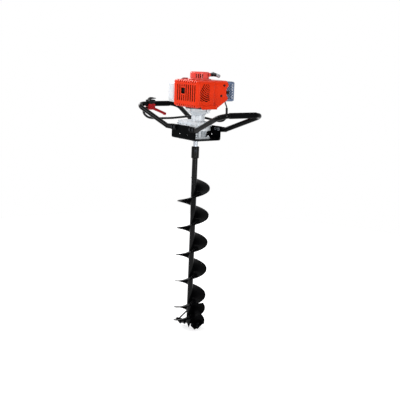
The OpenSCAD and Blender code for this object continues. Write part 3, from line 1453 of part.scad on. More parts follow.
frame_bracket();
left_handle();
right_handle();
left_grip();
right_grip();
handle_bolts();
handle_nuts();
gearbox_bolts();
gearbox_lower_case();
gearbox_upper_case();
case_screws();
gearbox_bearings();
oil_seal();
clutch_housing();
crankcase();
cylinder_node();  // cylinder
engine_cover();
air_cleaner_cover();
cover_screws();
air_box();
air_filter();
carburettor();
muffler();
muffler_guard();
spark_plug();
plug_cap();
ignition_coil();
fuel_tank();
recoil_housing();
rope_guide();
starter_rope();
throttle_body();
throttle_clamp();
throttle_screws();
throttle_cable();
cable_ferrule();
output_shaft();
output_gear();
auger_sleeve();
auger_tube();
auger_flight();
second_flight();
blade_holders();
cutter_blades();
cutter_bolts();
centre_point();
brace_rod();
sleeve_bolt();
layshaft();
clutch_drum();
crankshaft();
flywheel();
clutch_shoes();
starter_pulley();
starter_handle();
throttle_lever();
lock_lever();
stop_switch();
fuel_cap();
choke_lever();
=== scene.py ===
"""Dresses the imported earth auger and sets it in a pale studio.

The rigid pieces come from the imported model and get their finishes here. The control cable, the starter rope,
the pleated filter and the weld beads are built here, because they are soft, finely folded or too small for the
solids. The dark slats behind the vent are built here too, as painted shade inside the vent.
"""

from __future__ import annotations

import logging
import math
from collections.abc import Callable, Sequence
from dataclasses import dataclass, field
from enum import Enum

import bpy
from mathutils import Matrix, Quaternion, Vector

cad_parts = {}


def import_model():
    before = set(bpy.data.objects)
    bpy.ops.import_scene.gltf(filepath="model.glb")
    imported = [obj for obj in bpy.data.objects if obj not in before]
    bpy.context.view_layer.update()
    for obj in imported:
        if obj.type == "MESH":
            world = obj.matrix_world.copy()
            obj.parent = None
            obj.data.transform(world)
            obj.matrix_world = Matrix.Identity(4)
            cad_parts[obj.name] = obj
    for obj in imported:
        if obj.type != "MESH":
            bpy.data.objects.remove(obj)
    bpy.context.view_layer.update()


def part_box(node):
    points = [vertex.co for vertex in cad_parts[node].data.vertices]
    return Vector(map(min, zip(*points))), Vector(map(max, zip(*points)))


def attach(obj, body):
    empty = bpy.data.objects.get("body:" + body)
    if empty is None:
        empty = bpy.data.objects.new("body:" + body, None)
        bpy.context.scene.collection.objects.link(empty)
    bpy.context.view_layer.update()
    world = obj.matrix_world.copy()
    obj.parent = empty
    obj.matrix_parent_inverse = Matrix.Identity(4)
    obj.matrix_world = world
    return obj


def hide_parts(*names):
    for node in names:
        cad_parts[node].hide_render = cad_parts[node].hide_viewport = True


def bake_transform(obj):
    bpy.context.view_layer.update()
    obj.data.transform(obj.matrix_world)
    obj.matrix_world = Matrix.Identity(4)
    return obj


LOG = logging.getLogger("earth_auger")
MM = 0.001
WHITE = (1.0, 1.0, 1.0, 1.0)
# Rays that a shader sends out to find an edge or a hollow.
RAYS = 4
Point = tuple[float, float, float]
Tree = bpy.types.NodeTree
Socket = bpy.types.NodeSocket


class Body(Enum):
    """The moving groups of the auger that pieces ride on."""

    MACHINE = "machine"
    BIT = "bit"
    PULL = "pull_body"


class Side(Enum):
    """The two faces of a flight that a weld bead can lie on."""

    UPPER = 1
    LOWER = -1


def linear(code: str) -> tuple[float, float, float, float]:
    """Turns an sRGB hex colour into linear light.

    Args:
        code: Six hex digits after a hash sign.

    Returns:
        Red, green, blue and an alpha of one.
    """
    parts = [int(code[i : i + 2], 16) / 255 for i in (1, 3, 5)]
    red, green, blue = (p / 12.92 if p <= 0.04045 else ((p + 0.055) / 1.055) ** 2.4 for p in parts)
    return red, green, blue, 1.0


def per_mm(size: float) -> float:
    """Gives the texture scale whose features are about that many millimetres wide."""
    return 1 / (size * MM)


def add(
    tree: Tree, kind: str, sockets: dict[str | int, object] | None = None, **settings: object
) -> bpy.types.Node:
    """Adds one node with its settings, values and links.

    Args:
        tree: The material's or the world's node tree.
        kind: Blender's name of the node.
        sockets: Values, or outputs to link, by the input's name or number.
        settings: The node's own properties.

    Returns:
        The new node.
    """
    made = tree.nodes.new(kind)
    for name, value in settings.items():
        setattr(made, name, value)
    for key, value in (sockets or {}).items():
        if isinstance(value, Socket):
            tree.links.new(value, made.inputs[key])
        else:
            made.inputs[key].default_value = value
    return made


def relief(tree: Tree, height: Socket, depth: float, edge: float) -> Socket:
    """Gives a surface its small relief and the soft edges of a real piece.

    Args:
        tree: The node tree.
        height: A pattern from 0 to 1.
        depth: Height of the relief in millimetres.
        edge: Radius in millimetres that sharp edges seem to have.

    Returns:
        The normal that the shader takes.
    """
    soft = add(tree, "ShaderNodeBevel", {"Radius": edge * MM}, samples=RAYS)
    bump = add(
        tree,
        "ShaderNodeBump",
        {"Strength": 1.0, "Distance": depth * MM, "Height": height, "Normal": soft.outputs[0]},
    )
    return bump.outputs[0]


def edges(tree: Tree, width: float) -> Socket:
    """Finds the edges of a piece, where hands and earth rub first and where the moulded finishes paint a
    highlight.

    Args:
        tree: The node tree.
        width: Width of the found edge in millimetres.

    Returns:
        A mask that is 1 on an edge and 0 on a flat.
    """
    soft = add(tree, "ShaderNodeBevel", {"Radius": width * MM}, samples=RAYS)
    true = add(tree, "ShaderNodeNewGeometry")
    same = add(
        tree,
        "ShaderNodeVectorMath",
        {0: soft.outputs[0], 1: true.outputs["Normal"]},
        operation="DOT_PRODUCT",
    )
    # Both normals agree on a flat, and part by more than eight degrees at an edge.
    return spread(tree, same.outputs["Value"], (0.99, 0.8), 0.0, 1.0)


def mixed(tree: Tree, factor: Socket, low: Socket | str, high: Socket | str) -> Socket:
    """Mixes two colours by a mask.

    Args:
        tree: The node tree.
        factor: The mask, from 0 to 1.
        low: Colour at 0, as a hex code or an output.
        high: Colour at 1, as a hex code or an output.

    Returns:
        The mixed colour.
    """
    # Inputs 6 and 7 and output 2 are the colours of a mix node.
    ends = [linear(c) if isinstance(c, str) else c for c in (low, high)]
    node = add(tree, "ShaderNodeMix", {"Factor": factor, 6: ends[0], 7: ends[1]}, data_type="RGBA")
    return node.outputs[2]


def spread(tree: Tree, value: Socket, source: tuple[float, float], low: float, high: float) -> Socket:
    """Stretches part of a pattern's range to new limits.

    Args:
        tree: The node tree.
        value: The pattern.
        source: Values of the pattern that become the limits.
        low: Result at the first value.
        high: Result at the second value.

    Returns:
        The stretched pattern, held between the limits.
    """
    node = add(
        tree,
        "ShaderNodeMapRange",
        {"Value": value, "From Min": source[0], "From Max": source[1], "To Min": low, "To Max": high},
    )
    return node.outputs[0]


def product(tree: Tree, first: Socket, second: Socket | float) -> Socket:
    """Multiplies a mask with another, or with a number."""
    return add(tree, "ShaderNodeMath", {0: first, 1: second}, operation="MULTIPLY").outputs[0]


@dataclass(frozen=True)
class Finish:
    """A finish of the auger, made once and shared by its pieces.

    Attributes:
        name: Name of the material, after what it is and how its surface was made.
        colour: Main colour as a hex code.
        roughness: Middle value of the roughness.
        edge: Radius in millimetres that sharp edges seem to have.
    """

    name: str
    colour: str
    roughness: float
    edge: float

    def sockets(self, tree: Tree, point: Socket) -> dict[str, object]:
        """Builds the finish's own patterns.

        Args:
            tree: The node tree.
            point: Place on the piece, in metres.

        Returns:
            Values of the shader's inputs.
        """
        raise NotImplementedError

    def rough(self, tree: Tree, pattern: Socket, down: float, up: float, top: float = 0.7) -> Socket:
        """Lets the roughness fall and rise with a pattern, from its value 0.3 to its value top."""
        return spread(tree, pattern, (0.3, top), self.roughness - down, self.roughness + up)

    def make(self) -> bpy.types.Material:
        """Makes the material, or gives the one made before.

        Returns:
            The material.
        """
        known = bpy.data.materials.get(self.name)
        if known:
            return known
        material = bpy.data.materials.new(self.name)
        material.use_nodes = True
        tree = material.node_tree
        tree.nodes.clear()
        point = add(tree, "ShaderNodeTexCoord").outputs["Object"]
        shader = add(tree, "ShaderNodeBsdfPrincipled", self.sockets(tree, point))
        add(tree, "ShaderNodeOutputMaterial", {"Surface": shader.outputs[0]})
        return material


@dataclass(frozen=True)
class MouldedPlastic(Finish):
    """Injection-moulded plastic: even colour, faint flow clouds, a fine eroded grain and painted shade in
    slots.

    Attributes:
        cloud: Colour of the flow clouds.
        rub: Paler colour on the edges, for rubbed wear with a painted highlight.
        deep: Colour of the painted shade down in slots and corners, where little light comes.
        grain: Width of the mould's grain in millimetres, drawn coarser than the real 0.2 so that it shows.
        depth: Depth of the grain in millimetres.
        specular: Strength of the mirror reflection.
        flow: Width of the flow clouds in millimetres.
        slot: Reach of the painted shade from a wall in millimetres.
    """

    cloud: str
    rub: str
    deep: str = "#020203"
    grain: float = 1.1
    depth: float = 0.02
    specular: float = 0.5
    flow: float = 48.0
    slot: float = 16.0

    def sockets(self, tree: Tree, point: Socket) -> dict[str, object]:
        """Builds clouds, grain, rubbed edges with a painted highlight, and painted shade in slots.

        Args:
            tree: The node tree.
            point: Place on the piece, in metres.

        Returns:
            Values of the shader's inputs.
        """
        cloud = add(tree, "ShaderNodeTexNoise", {"Vector": point, "Scale": per_mm(self.flow), "Detail": 3.0})
        grain = add(tree, "ShaderNodeTexNoise", {"Vector": point, "Scale": per_mm(self.grain), "Detail": 2.0})
        tone = mixed(tree, spread(tree, cloud.outputs[0], (0.35, 0.7), 0.0, 0.8), self.colour, self.cloud)
        # Paler on every edge: rubbed wear, with a painted highlight.
        worn = mixed(tree, product(tree, edges(tree, 1.6 * self.edge), 0.35), tone, self.rub)
        # Painted shade: the colour turns to the deep colour where the occlusion rays find walls close by, in
        # slots and corners.
        hollow = add(tree, "ShaderNodeAmbientOcclusion", {"Distance": self.slot * MM}, samples=RAYS)
        shade = spread(tree, hollow.outputs["AO"], (0.3, 0.8), 1.0, 0.0)
        return {
            "Base Color": mixed(tree, shade, worn, self.deep),
            "Roughness": self.rough(tree, grain.outputs[0], 0.05, 0.06),
            "IOR": 1.5,
            "Specular IOR Level": self.specular,
            "Normal": relief(tree, grain.outputs[0], self.depth, self.edge),
        }


@dataclass(frozen=True)
class TwoShotPlastic(MouldedPlastic):
    """Plastic moulded in two shots: a core of one colour with ends of another over it.

    Attributes:
        core: Colour of the core.
        middle: Place of the core's middle along X, in millimetres.
        half: Half of the length on which the core shows.
        line: Width of the line between the two colours.
    """

    core: str = "#08080a"
    middle: float = 46.0
    half: float = 14.0
    line: float = 0.5

    def sockets(self, tree: Tree, point: Socket) -> dict[str, object]:
        """Builds the moulded skin and sets the core's colour in the middle.

        Args:
            tree: The node tree.
            point: Place on the piece, in metres.

        Returns:
            Values of the shader's inputs.
        """
        made = super().sockets(tree, point)
        along = add(tree, "ShaderNodeSeparateXYZ", {0: point}).outputs[0]
        apart = add(tree, "ShaderNodeMath", {0: along, 1: self.middle * MM}, operation="SUBTRACT")
        away = add(tree, "ShaderNodeMath", {0: apart.outputs[0]}, operation="ABSOLUTE")
        edge = (self.half * MM, (self.half + self.line) * MM)
        ends = spread(tree, away.outputs[0], edge, 0.0, 1.0)
        made["Base Color"] = mixed(tree, ends, self.core, made["Base Color"])
        return made


@dataclass(frozen=True)
class PaintedSteel(Finish):
    """Baked black paint on steel: a slight orange peel, dust-grey clouds and rubbed, paler edges.

    Attributes:
        dust: Colour of the faint clouds.
        rub: Colour of the rubbed edges.
        peel: Width of the orange peel in millimetres.
        depth: Depth of the orange peel in millimetres.
        specular: Strength of the mirror reflection, low for a deep black.
        cloud: Width of the clouds in millimetres.
        chip: Width of the rubbed chips along an edge.
    """

    dust: str
    rub: str
    peel: float = 4.0
    depth: float = 0.006
    specular: float = 0.3
    cloud: float = 34.0
    chip: float = 5.0

    def sockets(self, tree: Tree, point: Socket) -> dict[str, object]:
        """Builds orange peel, dust and rubbed edges.

        Args:
            tree: The node tree.
            point: Place on the piece, in metres.

        Returns:
            Values of the shader's inputs.
        """
        peel, dust, chips = (
            add(tree, "ShaderNodeTexNoise", {"Vector": point, "Scale": per_mm(width), "Detail": detail})
            for width, detail in ((self.peel, 2.0), (self.cloud, 5.0), (self.chip, 4.0))
        )
        tone = mixed(tree, spread(tree, dust.outputs[0], (0.4, 0.75), 0.0, 1.0), self.colour, self.dust)
        worn = product(
            tree, edges(tree, 1.3 * self.edge), spread(tree, chips.outputs[0], (0.42, 0.62), 0.0, 0.8)
        )
        return {
            "Base Color": mixed(tree, worn, tone, self.rub),
            "Roughness": self.rough(tree, dust.outputs[0], 0.04, 0.1, 0.75),
            "IOR": 1.5,
            "Specular IOR Level": self.specular,
            "Normal": relief(tree, peel.outputs[0], self.depth, self.edge),
        }


@dataclass(frozen=True)
class CastAluminium(Finish):
    """Lacquer on a casting: an even colour on a pebbled skin, painted shade as dark lines in the corners,
    bright edges.

    Attributes:
        shade: Colour of the darker patches.
        rub: Colour of the edges.
        deep: Colour of the painted shade down in corners and hollows.
        corner: Reach of that colour from a corner in millimetres.
        metallic: Share of metal flakes in the lacquer.
        skin: Width of the pebbles in millimetres, coarser than the real 0.3 so that they show.
        height: Height of the pebbles.
        patch: Width of the darker patches.
    """

    shade: str
    rub: str
    deep: str = "#30363b"
    corner: float = 6.0
    metallic: float = 0.18
    skin: float = 1.4
    height: float = 0.06
    patch: float = 16.0

    def sockets(self, tree: Tree, point: Socket) -> dict[str, object]:
        """Builds the pebbled skin, its patches, its bright edges and the painted shade in its corners.

        Args:
            tree: The node tree.
            point: Place on the piece, in metres.

        Returns:
            Values of the shader's inputs.
        """
        skin = add(tree, "ShaderNodeTexNoise", {"Vector": point, "Scale": per_mm(self.skin), "Detail": 3.0})
        patch = add(tree, "ShaderNodeTexNoise", {"Vector": point, "Scale": per_mm(self.patch), "Detail": 6.0})
        tone = mixed(tree, spread(tree, patch.outputs[0], (0.38, 0.7), 0.0, 1.0), self.colour, self.shade)
        # Painted shade: darker lines where the occlusion rays find walls close by, in corners and hollows.
        hollow = add(tree, "ShaderNodeAmbientOcclusion", {"Distance": self.corner * MM}, samples=RAYS)
        depth = spread(tree, hollow.outputs["AO"], (0.15, 0.8), 0.75, 0.0)
        bright = mixed(tree, product(tree, edges(tree, 1.2 * self.edge), 0.6), tone, self.rub)
        return {
            "Base Color": mixed(tree, depth, bright, self.deep),
            "Metallic": self.metallic,
            "Roughness": self.rough(tree, skin.outputs[0], 0.06, 0.1),
            "Normal": relief(tree, skin.outputs[0], self.height, self.edge),
        }


@dataclass(frozen=True)
class SheetSteel(Finish):
    """Cold-rolled sheet: straight rolling lines and a faint heat tint.

    Attributes:
        tint: Colour where heat has tinted the sheet.
        line: Width of the rolling lines in millimetres, coarser than the real 0.1 so that they show.
        depth: Depth of the rolling lines.
        cloud: Width of the tinted clouds.
    """

    tint: str
    line: float = 0.8
    depth: float = 0.01
    cloud: float = 38.0

    def sockets(self, tree: Tree, point: Socket) -> dict[str, object]:
        """Builds rolling lines and tint.

        Args:
            tree: The node tree.
            point: Place on the piece, in metres.

        Returns:
            Values of the shader's inputs.
        """
        drawn = add(tree, "ShaderNodeMapping", {"Vector": point, "Scale": (1.0, 1.0, 0.04)})
        line = add(
            tree,
            "ShaderNodeTexNoise",
            {"Vector": drawn.outputs[0], "Scale": per_mm(self.line), "Detail": 2.0},
        )
        heat = add(tree, "ShaderNodeTexNoise", {"Vector": point, "Scale": per_mm(self.cloud), "Detail": 3.0})
        tone = mixed(tree, spread(tree, heat.outputs[0], (0.42, 0.7), 0.0, 0.8), self.colour, self.tint)
        return {
            "Base Color": tone,
            "Metallic": 1.0,
            "Roughness": self.rough(tree, line.outputs[0], 0.08, 0.1),
            "Normal": relief(tree, line.outputs[0], self.depth, self.edge),
        }


@dataclass(frozen=True)
class PlatedSteel(Finish):
    """Zinc-plated or ground steel: bright, with a mottled passivation and fine turning lines.

    Attributes:
        mottle: Second colour of the plating.
        line: Width of the turning lines in millimetres, coarser than the real 0.1 so that they show.
        depth: Depth of the turning lines.
        spot: Width of the mottled spots.
    """

    mottle: str
    line: float = 0.7
    depth: float = 0.006
    spot: float = 6.0

    def sockets(self, tree: Tree, point: Socket) -> dict[str, object]:
        """Builds mottling and turning lines.

        Args:
            tree: The node tree.
            point: Place on the piece, in metres.

        Returns:
            Values of the shader's inputs.
        """
        turned = add(tree, "ShaderNodeMapping", {"Vector": point, "Scale": (0.08, 0.08, 1.0)})
        line = add(tree, "ShaderNodeTexNoise", {"Vector": turned.outputs[0], "Scale": per_mm(self.line)})
        mottle = add(tree, "ShaderNodeTexNoise", {"Vector": point, "Scale": per_mm(self.spot), "Detail": 4.0})
        tone = mixed(tree, spread(tree, mottle.outputs[0], (0.4, 0.65), 0.0, 1.0), self.colour, self.mottle)
        return {
            "Base Color": tone,
            "Metallic": 1.0,
            "Roughness": self.rough(tree, mottle.outputs[0], 0.06, 0.1),
            "Normal": relief(tree, line.outputs[0], self.depth, self.edge),
        }


@dataclass(frozen=True)
class MilkyPolyethylene(Finish):
    """Blow-moulded polyethylene: white and waxy, light goes a few millimetres in, with soft sink marks.

    Attributes:
        shade: Cooler colour of the thicker places.
        wall: Depth in millimetres that light goes into the wall.
        cloud: Width of the thicker places.
        dimple: Width of the sink marks.
        depth: Depth of the sink marks.
    """

    shade: str
    wall: float = 4.0
    cloud: float = 55.0
    dimple: float = 9.0
    depth: float = 0.12

    def sockets(self, tree: Tree, point: Socket) -> dict[str, object]:
        """Builds thickness clouds and sink marks.

        Args:
            tree: The node tree.
            point: Place on the piece, in metres.

        Returns:
            Values of the shader's inputs.
        """
        thick = add(tree, "ShaderNodeTexNoise", {"Vector": point, "Scale": per_mm(self.cloud), "Detail": 2.0})
        sink = add(tree, "ShaderNodeTexNoise", {"Vector": point, "Scale": per_mm(self.dimple), "Detail": 2.0})
        tone = mixed(tree, spread(tree, thick.outputs[0], (0.35, 0.7), 0.0, 1.0), self.colour, self.shade)
        return {
            "Base Color": tone,
            "Roughness": self.rough(tree, sink.outputs[0], 0.05, 0.08),
            "IOR": 1.51,
            "Subsurface Weight": 0.35,
            "Subsurface Radius": (1.0, 1.0, 1.1),
            "Subsurface Scale": self.wall * MM,
            "Normal": relief(tree, sink.outputs[0], self.depth, self.edge),
        }


@dataclass(frozen=True)
class RibbedRubber(Finish):
    """Moulded grip rubber: matt black with fine rings round the bar.

    Attributes:
        dust: Paler colour of the worn tops.
        ring: Distance between the rings in millimetres, along the grip bar.
        depth: Depth of the rings.
        grain: Width of the grain.
    """

    dust: str
    ring: float = 3.2
    depth: float = 0.25
    grain: float = 1.3

    def sockets(self, tree: Tree, point: Socket) -> dict[str, object]:
        """Builds rings and worn tops.

        Args:
            tree: The node tree.
            point: Place on the piece, in metres.

        Returns:
            Values of the shader's inputs.
        """
        # Blender's bands repeat every 2 pi / 20 units, and the scale makes that the distance of two rings.
        wave = add(
            tree,
            "ShaderNodeTexWave",
            {"Vector": point, "Scale": per_mm(self.ring) * 2 * math.pi / 20, "Distortion": 0.0},
            wave_type="BANDS",
            bands_direction="Y",
        )
        grain = add(tree, "ShaderNodeTexNoise", {"Vector": point, "Scale": per_mm(self.grain), "Detail": 3.0})
        tone = mixed(tree, product(tree, wave.outputs[1], grain.outputs[0]), self.colour, self.dust)
        return {
            "Base Color": tone,
            "Roughness": self.rough(tree, grain.outputs[0], 0.06, 0.1),
            "IOR": 1.5,
            "Specular IOR Level": 0.02,
            "Normal": relief(tree, wave.outputs[1], self.depth, self.edge),
        }


@dataclass(frozen=True)
class PulpPaper(Finish):
    """Resin-treated filter paper: dull, felted fibres.

    Attributes:
        fibre: Colour of the paler fibres.
        width: Width of the fibres in millimetres, coarser than the real 0.05 so that they show.
        depth: Depth of the felt.
    """

    fibre: str
    width: float = 1.5
    depth: float = 0.05

    def sockets(self, tree: Tree, point: Socket) -> dict[str, object]:
        """Builds felted fibres.

        Args:
            tree: The node tree.
            point: Place on the piece, in metres.

        Returns:
            Values of the shader's inputs.
        """
        fibre = add(
            tree,
            "ShaderNodeTexNoise",
            {"Vector": point, "Scale": per_mm(self.width), "Detail": 6.0, "Distortion": 1.5},
        )
        tone = mixed(tree, spread(tree, fibre.outputs[0], (0.35, 0.65), 0.0, 1.0), self.colour, self.fibre)
        return {
            "Base Color": tone,
            "Roughness": self.roughness,
            "Specular IOR Level": 0.1,
            "Normal": relief(tree, fibre.outputs[0], self.depth, self.edge),
        }


Dressing = dict[Finish, tuple[str, ...]]

# Name, colour, roughness and edge radius come first, then the class's own values in their order.
# In a moulded finish the colours after the edge radius are the flow clouds, the rubbed edges with a painted
# highlight and, where given, the painted shade in slots.
# ABS from a polished mould: a bright, even orange with a soft sheen along its round edges, partly a painted
# highlight.
ORANGE = MouldedPlastic(
    "moulded_orange_abs", "#f8380a", 0.36, 0.8, "#f03408", "#ff6a3c", "#1c0401", specular=0.14
)
# A paler, pinker copy of the covers' orange in nylon: a painted highlight on the drum, which also mirrors more
# of the room.
DRUM_HIGHLIGHT_ORANGE = MouldedPlastic(
    "moulded_orange_nylon", "#f44a3a", 0.32, 0.8, "#e84030", "#ff7a64", "#240604", specular=0.5
)
# Nylon from a polished mould: a clear, deep red with small glints.
RED = MouldedPlastic("moulded_red_nylon", "#c80d18", 0.34, 0.5, "#b60a14", "#d83842", specular=0.18)
# Polyethylene: a dark red with a waxy sheen.
CAP_RED = MouldedPlastic(
    "moulded_dark_red_polyethylene", "#960c14", 0.4, 0.5, "#820a10", "#b83038", specular=0.45
)
# Nylon from a spark-eroded mould: a dull black, a little grey on its edges.
BLACK = MouldedPlastic("moulded_black_nylon", "#08080a", 0.45, 0.5, "#0d0d0f", "#222326", specular=0.15)
# Nylon in a warm ivory that reads as pale bars through the drum's slots: a painted highlight.
PULLEY_HIGHLIGHT_IVORY = MouldedPlastic("moulded_natural_nylon", "#ded9cc", 0.5, 0.4, "#d2ccbd", "#ece8de", "#6a655a")
# Grey ends moulded over a black core: three plain bands along the grip.
GREY = TwoShotPlastic(
    "two_shot_grey_and_black_nylon", "#a9adb0", 0.42, 0.5, "#94999d", "#c9cdd0", "#303234"
)
# Fired glaze: a hard white that looks wet.
CERAMIC = MouldedPlastic(
    "glazed_white_ceramic", "#eceae4", 0.16, 0.4, "#e2dfd6", "#f6f5f2", "#8a8880", depth=0.004
)
# Extruded polyethylene: satin black, so that the ribs show as thin lines of light.
LOOM = MouldedPlastic(
    "extruded_black_polyethylene", "#09090b", 0.42, 0.3, "#0e0e10", "#222326", specular=0.15
)
# Braided fibres: an off-white without gloss, fuzzy along its strands.
NYLON = MouldedPlastic(
    "braided_white_nylon", "#dcdad2", 0.7, 0.2, "#c9c6bc", "#f0eee8", "#7a786f", grain=0.8, depth=0.08
)
# Powder baked on pressed sheet: a deep black that mirrors little, greyer on its bends.
FRAME_PAINT = PaintedSteel(
    "baked_black_powder_coat", "#050607", 0.34, 0.8, "#0b0c0e", "#1a1c1f", specular=0.012
)
# Enamel on bent tube: a black that looks wet, with narrow lines of light.
HANDLE_PAINT = PaintedSteel("gloss_black_enamel", "#020203", 0.09, 0.6, "#060607", "#141619", specular=0.06)
# The same enamel on drawn tube: straight lines of light along its length.
TUBE_PAINT = PaintedSteel(
    "gloss_black_enamel_on_drawn_tube", "#020203", 0.09, 0.7, "#060708", "#1a1d20", specular=0.12
)
# Enamel dipped on rolled plate: a black with few reflections, rubbed grey along its rims.
BIT_PAINT = PaintedSteel(
    "dipped_black_enamel_on_rolled_plate", "#020203", 0.16, 0.7, "#050607", "#16181b", specular=0.012
)
# Lacquer with metal flakes on a casting: a cool, pale silver with painted shade as dark lines in its corners.
CAST = CastAluminium("silver_lacquered_cast_aluminium", "#eef3f7", 0.42, 0.9, "#d8e0e6", "#f8fafb")
# A flat charcoal on a rough casting, for the parts inside the covers: painted shade that keeps the inside of
# the covers dark.
INNER_CAST = CastAluminium(
    "sand_cast_aluminium_in_heat_paint", "#17181a", 0.6, 0.9, "#101113", "#26282b", "#060607"
)
# Bare rolled sheet: blue-grey metal with faint upright lines.
GUARD = SheetSteel("rolled_steel_sheet", "#66738a", 0.34, 0.4, "#525e74")
# Sheet tinted by the exhaust's heat: a dark, brownish grey.
MUFFLER = SheetSteel("dark_heat_tinted_sheet", "#4b4d52", 0.45, 0.6, "#3a3532")
# Zinc plating: light grey with a mottled shine.
ZINC = PlatedSteel("zinc_plated_steel", "#b4b8bd", 0.3, 0.35, "#9aa0a8")
# Black oxide in oil: nearly black, with metal glints.
DARK_BOLT = PlatedSteel("black_oxide_steel", "#2a2c30", 0.38, 0.35, "#1f2125")
# Ground steel: clear grey metal with fine turning lines.
GROUND = PlatedSteel("ground_steel", "#aeb2b8", 0.26, 0.4, "#969ba2")
# Blown polyethylene: a milky white that light goes into.
TANK = MilkyPolyethylene("blow_moulded_polyethylene", "#f7faff", 0.36, 1.2, "#eef3fb")
# Moulded rubber: a flat black, finely ringed.
RUBBER = RibbedRubber("moulded_grip_rubber", "#060607", 0.55, 0.4, "#101012")
# Felted paper: a flat, dark brown-grey, kept dark as painted shade behind the cover's slots.
PAPER = PulpPaper("felted_filter_paper", "#2b2723", 0.9, 0.2, "#3d3832")


def shape(
    name: str,
    points: Sequence[Sequence[float]],
    faces: Sequence[Sequence[int]],
    material: bpy.types.Material,
    smooth: bool = True,
) -> bpy.types.Object:
    """Makes an object from vertices and faces.

    Args:
        name: Name of the object.
        points: Its vertices, in metres.
        faces: Its faces, as numbers of vertices.
        material: Its material.
        smooth: Whether light flows over the edges between its faces.

    Returns:
        The new object.
    """
    mesh = bpy.data.meshes.new(name)
    mesh.from_pydata([tuple(p) for p in points], [], [tuple(f) for f in faces])
    mesh.polygons.foreach_set("use_smooth", [smooth] * len(mesh.polygons))
    mesh.materials.append(material)
    mesh.update()
    made = bpy.data.objects.new(name, mesh)
    bpy.context.scene.collection.objects.link(made)
    LOG.info("%s: %d faces", name, len(mesh.polygons))
    return made


def smooth_line(route: Sequence[Point], steps: int) -> list[Vector]:
    """Runs a smooth line through a route, as the solids do.

    Args:
        route: Points in millimetres.
        steps: New points from one point to the next.

    Returns:
        Points in metres.
    """
    marks = [Vector(p) * MM for p in route]
    last = len(marks) - 1
    line: list[Vector] = []
    for i in range(last):
        a, b, c, d = (marks[min(max(k, 0), last)] for k in range(i - 1, i + 3))
        for k in range(steps):
            t = k / steps
            line.append(
                0.5
                * (
                    2 * b
                    + (c - a) * t
                    + (2 * a - 5 * b + 4 * c - d) * t * t
                    + (3 * b - a - 3 * c + d) * t * t * t
                )
            )
    return [*line, marks[last]]


def evenly(line: Sequence[Vector], step: float) -> list[Vector]:
    """Places points along a line at an even distance.

    Args:
        line: Points in metres.
        step: Wanted distance in metres.

    Returns:
        The new points, from end to end of the line.
    """
    runs = [0.0]
    for a, b in zip(line, line[1:]):
        runs.append(runs[-1] + (b - a).length)
    count = max(2, round(runs[-1] / step))
    points: list[Vector] = []
    k = 0
    for i in range(count + 1):
        want = runs[-1] * i / count
        while k < len(runs) - 2 and runs[k + 1] < want:
            k += 1
        share = (want - runs[k]) / max(runs[k + 1] - runs[k], 1e-9)
        points.append(line[k].lerp(line[k + 1], min(max(share, 0.0), 1.0)))
    return points


def tube(
    line: Sequence[Vector], radius: Callable[[int, float], float], sides: int
) -> tuple[list[Vector], list[tuple[int, ...]]]:
    """Sweeps a closed tube along a line.

    Args:
        line: Points in metres.
        radius: Gives the radius in metres at a ring's number and an angle.
        sides: Sides of the tube.

    Returns:
        Vertices and faces.
    """
    last = len(line) - 1
    # No line that is swept here runs this way, so the tube never twists.
    up = Vector((0.3, 0.2, 1.0))
    points: list[Vector] = []
    for i, middle in enumerate(line):
        ahead = (line[min(i + 1, last)] - line[max(i - 1, 0)]).normalized()
        across = up.cross(ahead).normalized()
        over = ahead.cross(across)
        for k in range(sides):
            a = 2 * math.pi * k / sides
            points.append(middle + radius(i, a) * (math.cos(a) * across + math.sin(a) * over))
    faces: list[tuple[int, ...]] = []
    for i in range(last):
        for k in range(sides):
            p, q = i * sides + k, i * sides + (k + 1) % sides
            faces.append((p, q, q + sides, p + sides))
    faces.append(tuple(reversed(range(sides))))
    faces.append(tuple(range(last * sides, (last + 1) * sides)))
    return points, faces


@dataclass
class Assembly:
    """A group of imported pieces.

    Attributes:
        finishes: Names of the pieces, by their finish.
    """

    finishes: Dressing = field(default_factory=dict)

    def build(self) -> None:
        """Gives the pieces their finishes."""
        for finish, nodes in self.finishes.items():
            for node in nodes:
                data = bpy.data.objects[node].data
                data.materials.clear()
                data.materials.append(finish.make())


